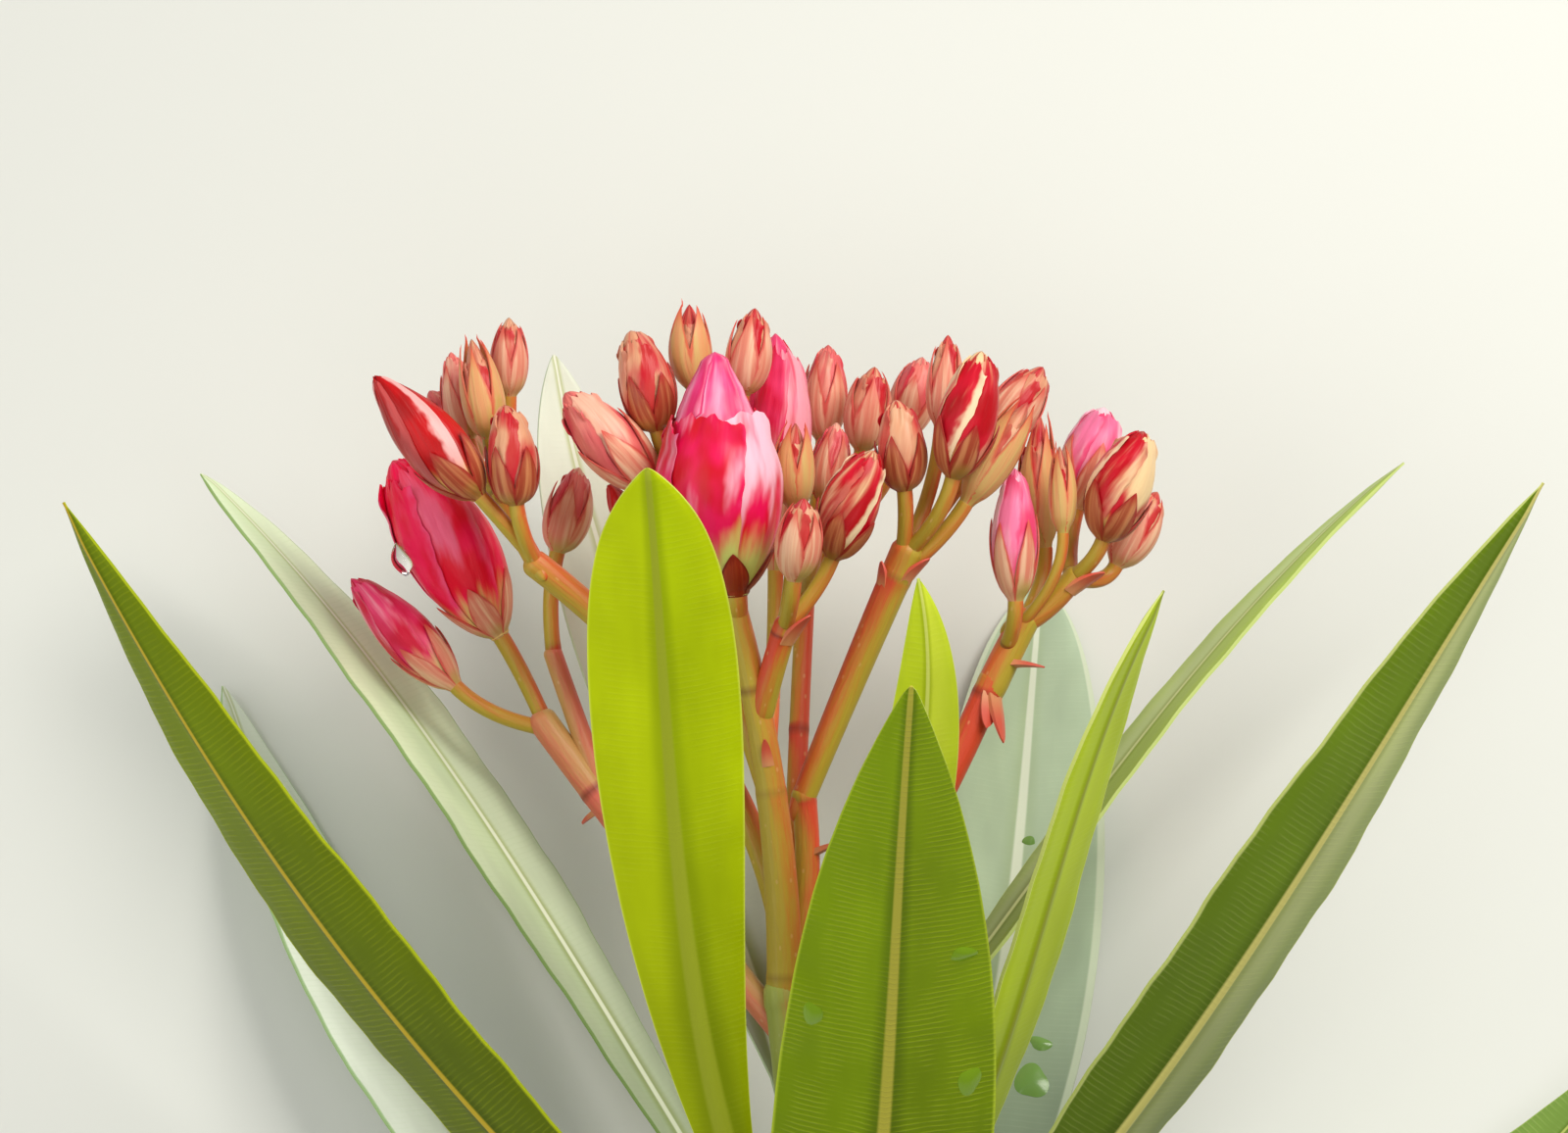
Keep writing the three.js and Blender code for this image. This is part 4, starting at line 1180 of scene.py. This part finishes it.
# foot, body, deep, light (pale streaks, partly a painted highlight), rim; then where the body colour starts,
# how much is light, how fine the streaks are, and where the rim starts
PETAL_LOOKS = {
    "red": [(226, 180, 104), (200, 0, 10), (164, 0, 4), (222, 60, 56), (252, 184, 182),
            0.22, 0.25, 0.8, 0.5],
    "crimson": [(228, 190, 116), (255, 10, 84), (238, 0, 46), (255, 120, 160), (250, 70, 130),
                0.16, 0.75, 0.5, 0.8],
    "rose": [(226, 196, 136), (240, 62, 116), (214, 10, 56), (252, 180, 196), (222, 16, 84),
             0.22, 0.75, 0.7, 0.72],
    "soft": [(222, 190, 130), (232, 126, 116), (218, 84, 92), (244, 196, 168), (212, 50, 70),
             0.16, 0.7, 0.8, 0.66],
    "pale": [(226, 196, 136), (246, 124, 168), (232, 70, 118), (255, 216, 228), (238, 70, 124),
             0.22, 0.9, 0.5, 0.8],
    "bloom": [(206, 208, 116), (234, 14, 86), (210, 0, 30), (255, 204, 226), (246, 90, 160),
              0.2, 0.9, 0.3, 0.9],
    "neck": [(206, 208, 116), (240, 70, 140), (230, 40, 108), (255, 204, 228), (255, 226, 238),
             0.2, 0.55, 0.2, 0.6],
    "striped": [(222, 196, 112), (208, 12, 42), (180, 0, 18), (246, 218, 166), (250, 222, 184),
                0.16, 0.85, 0.5, 0.66],
    "cream_red": [(200, 172, 92), (222, 160, 124), (202, 50, 56), (236, 196, 160), (196, 6, 34),
                  0.1, 0.5, 0.8, 0.36],
}
# foot, face, stripe, margin, tip
SEPAL_LOOKS = {
    "brown_red": [(170, 130, 60), (164, 66, 42), (202, 128, 84), (158, 22, 26), (172, 30, 30)],
    "tan_rose": [(190, 160, 88), (222, 130, 108), (240, 190, 158), (208, 62, 60), (216, 84, 72)],
    "dark_red": [(140, 56, 26), (150, 38, 20), (172, 66, 36), (110, 20, 12), (130, 26, 16)],
    "green_tan": [(166, 160, 60), (222, 156, 104), (212, 178, 110), (214, 84, 64), (216, 80, 60)],
}
petal_materials = {
    key: petal_finish(key, *(colour(*c) for c in look[:5]), *look[5:]) for key, look in PETAL_LOOKS.items()
}
sepal_materials = {key: sepal_finish(key, *(colour(*c) for c in look)) for key, look in SEPAL_LOOKS.items()}
print("petal finishes:", len(petal_materials), "sepal finishes:", len(sepal_materials))

# %% Build the buds
# the neck's radius at its foot and its tip as shares of the bud's, and where along the bud it starts
NECKS = {"bud_centre_5": (0.62, 0.15, 0.72)}
GIRTHS = {"bud_centre_5": 1.1}
TUCK = 0.14

named_buds = [(f"bud_{part}_{k}", *bud) for part, buds in BUDS.items() for k, bud in enumerate(buds, 1)]

for number, (name, worn, carrier, share, foot, tip, radius, widest, turned) in enumerate(named_buds):
    dress = DRESSES[worn]
    radius = radius * GIRTHS.get(name, 1)
    foot, tip = np.array(foot, float), np.array(tip, float)
    along = unit(tip - foot)
    first = square_to((0, 0, 1), along)
    length = np.linalg.norm(tip - foot)
    sway = np.cross(along, first) * wobble(1.3 * number, 2) + first * wobble(1.7 * number, 4)
    axes = (foot, length, along, BOW * length * sway)
    thick = max(min(PEDICEL_RADIUS, 0.36 * radius + 0.2), 0.18 * radius)
    base = max(thick, 0.19 * radius)
    tuck = TUCK if name in NECKS else 0
    rings = () if name in NECKS else PEDICEL_RINGS
    first_angle = turned + SEPAL_TURNS.get(name, 36)
    form = (axes, radius, widest, dress)
    patches = [core_patch(*form, turned, number, NECKS.get(name))]
    patches += [petal_patch(*form, k, turned, number, tuck) for k in range(5)]
    patches += [sepal_patch(*form, k, first_angle, number, base) for k in range(5)]
    patches.append(pedicel_patch(start_on(carrier, share, foot), foot, tip, thick, base, rings))
    petal_skin, sepal_skin = petal_materials[dress.petal], sepal_materials[dress.sepal]
    finishes = [petal_skin, sepal_skin, bark_stalk, petal_materials["neck"]]
    make_piece(name, patches, finishes, dress.slot, name)
print("buds:", len(named_buds))

# %% [markdown]
# ## Water
#
# One clear drop hangs on the side of the big left bud. It is a closed lens, so the light bends in it. A few
# flat wet marks lie on two of the leaves. Seen from above, such a mark is only a darker, glossier green, so
# each is a thin opaque lens in that green, set on the skin of its leaf.

# %% The drop
DROP_PLACE = np.array((-48.2, 124.4, -9.8))
DROP_RADIUS = 1.15
DROP_HEIGHT = 3.9
DROP_SLANT = 0.3
WATER_IOR = 1.33

water = plain_material("water", 0.02, Transmission_Weight=1.0, IOR=WATER_IOR)
fall, angle = round_grid(30, 32)
swell = np.sin(np.pi * fall) ** 0.8 * (1.25 - 0.5 * fall) * DROP_RADIUS + 0.01
above = (fall - 0.5) * DROP_HEIGHT
drop = DROP_PLACE + triples(swell * np.cos(angle) - DROP_SLANT * above, above, -swell * np.sin(angle))
blank = np.zeros_like(drop)
make_piece("water_drop", [tube(drop, blank, blank)], [water], None)
print("drop of", DROP_HEIGHT, "mm")

# %% The wet marks
BEADS = [
    # leaf, x and y in the shoot's frame, length and width in millimetres, 0 on a front or 1 on a back leaf
    ("leaf_front_right", 16.0, 67.2, 4.0, 2.4, 0),
    ("leaf_front_right", 15.0, 81.8, 2.0, 3.0, 0),
    ("leaf_front_right", -1.0, 75.0, 3.4, 2.0, 0),
    ("leaf_back_wide", 24.4, 64.0, 4.4, 3.8, 1),
    ("leaf_back_wide", 25.6, 68.0, 1.6, 2.8, 1),
    ("leaf_back_wide", 24.6, 90.7, 1.8, 1.5, 1),
]
BEAD_SLOPE = 0.1
BEAD_RIM = 0.02
BEAD_UNDER = 0.1

wet_front = plain_material("wet_front", 0.16, colour(122, 158, 4)[:3])
wet_back = plain_material("wet_back", 0.2, colour(124, 164, 84)[:3])


def bead_patch(patch, x, y, long, wide, finish):
    """A thin lens on a leaf's skin, on the side that faces the camera: a dome with the height 1 - r^2 on the
    plane that fits the skin round it best, closed by a flat bottom just under the skin."""
    sides = [patch.points[patch.place[:, 2] == side] for side in (0, 1)]
    skin = max(sides, key=lambda points: points[:, 2].mean())
    near = skin[np.hypot(skin[:, 0] - x, skin[:, 1] - y) < 0.5 * max(long, wide)]
    spot = near.mean(axis=0)
    up = np.linalg.svd(near - spot)[2][2]
    up = up * np.sign(up[2])
    along = square_to(skin[-1] - skin[0], up)
    r, angle = round_grid(12, 32, 0.02)
    uneven = r * (1 + 0.1 * (np.sin(2 * angle + x) + np.sin(3 * angle + y)))
    flat = spot + along * (uneven * np.cos(angle) * long / 2)[..., None]
    flat = flat + np.cross(up, along) * (uneven * np.sin(angle) * wide / 2)[..., None]
    dome = flat + up * (BEAD_SLOPE * wide * (1 - r**2) + BEAD_RIM)[..., None]
    points = np.concatenate([flat - up * BEAD_UNDER, dome[::-1]])
    blank = np.zeros_like(points)
    return tube(points, blank, blank, finish)


beads = [bead_patch(leaf_patches[leaf], *shape) for leaf, *shape in BEADS]
make_piece("water_beads", beads, [wet_front, wet_back], None)
print("wet marks:", len(beads))
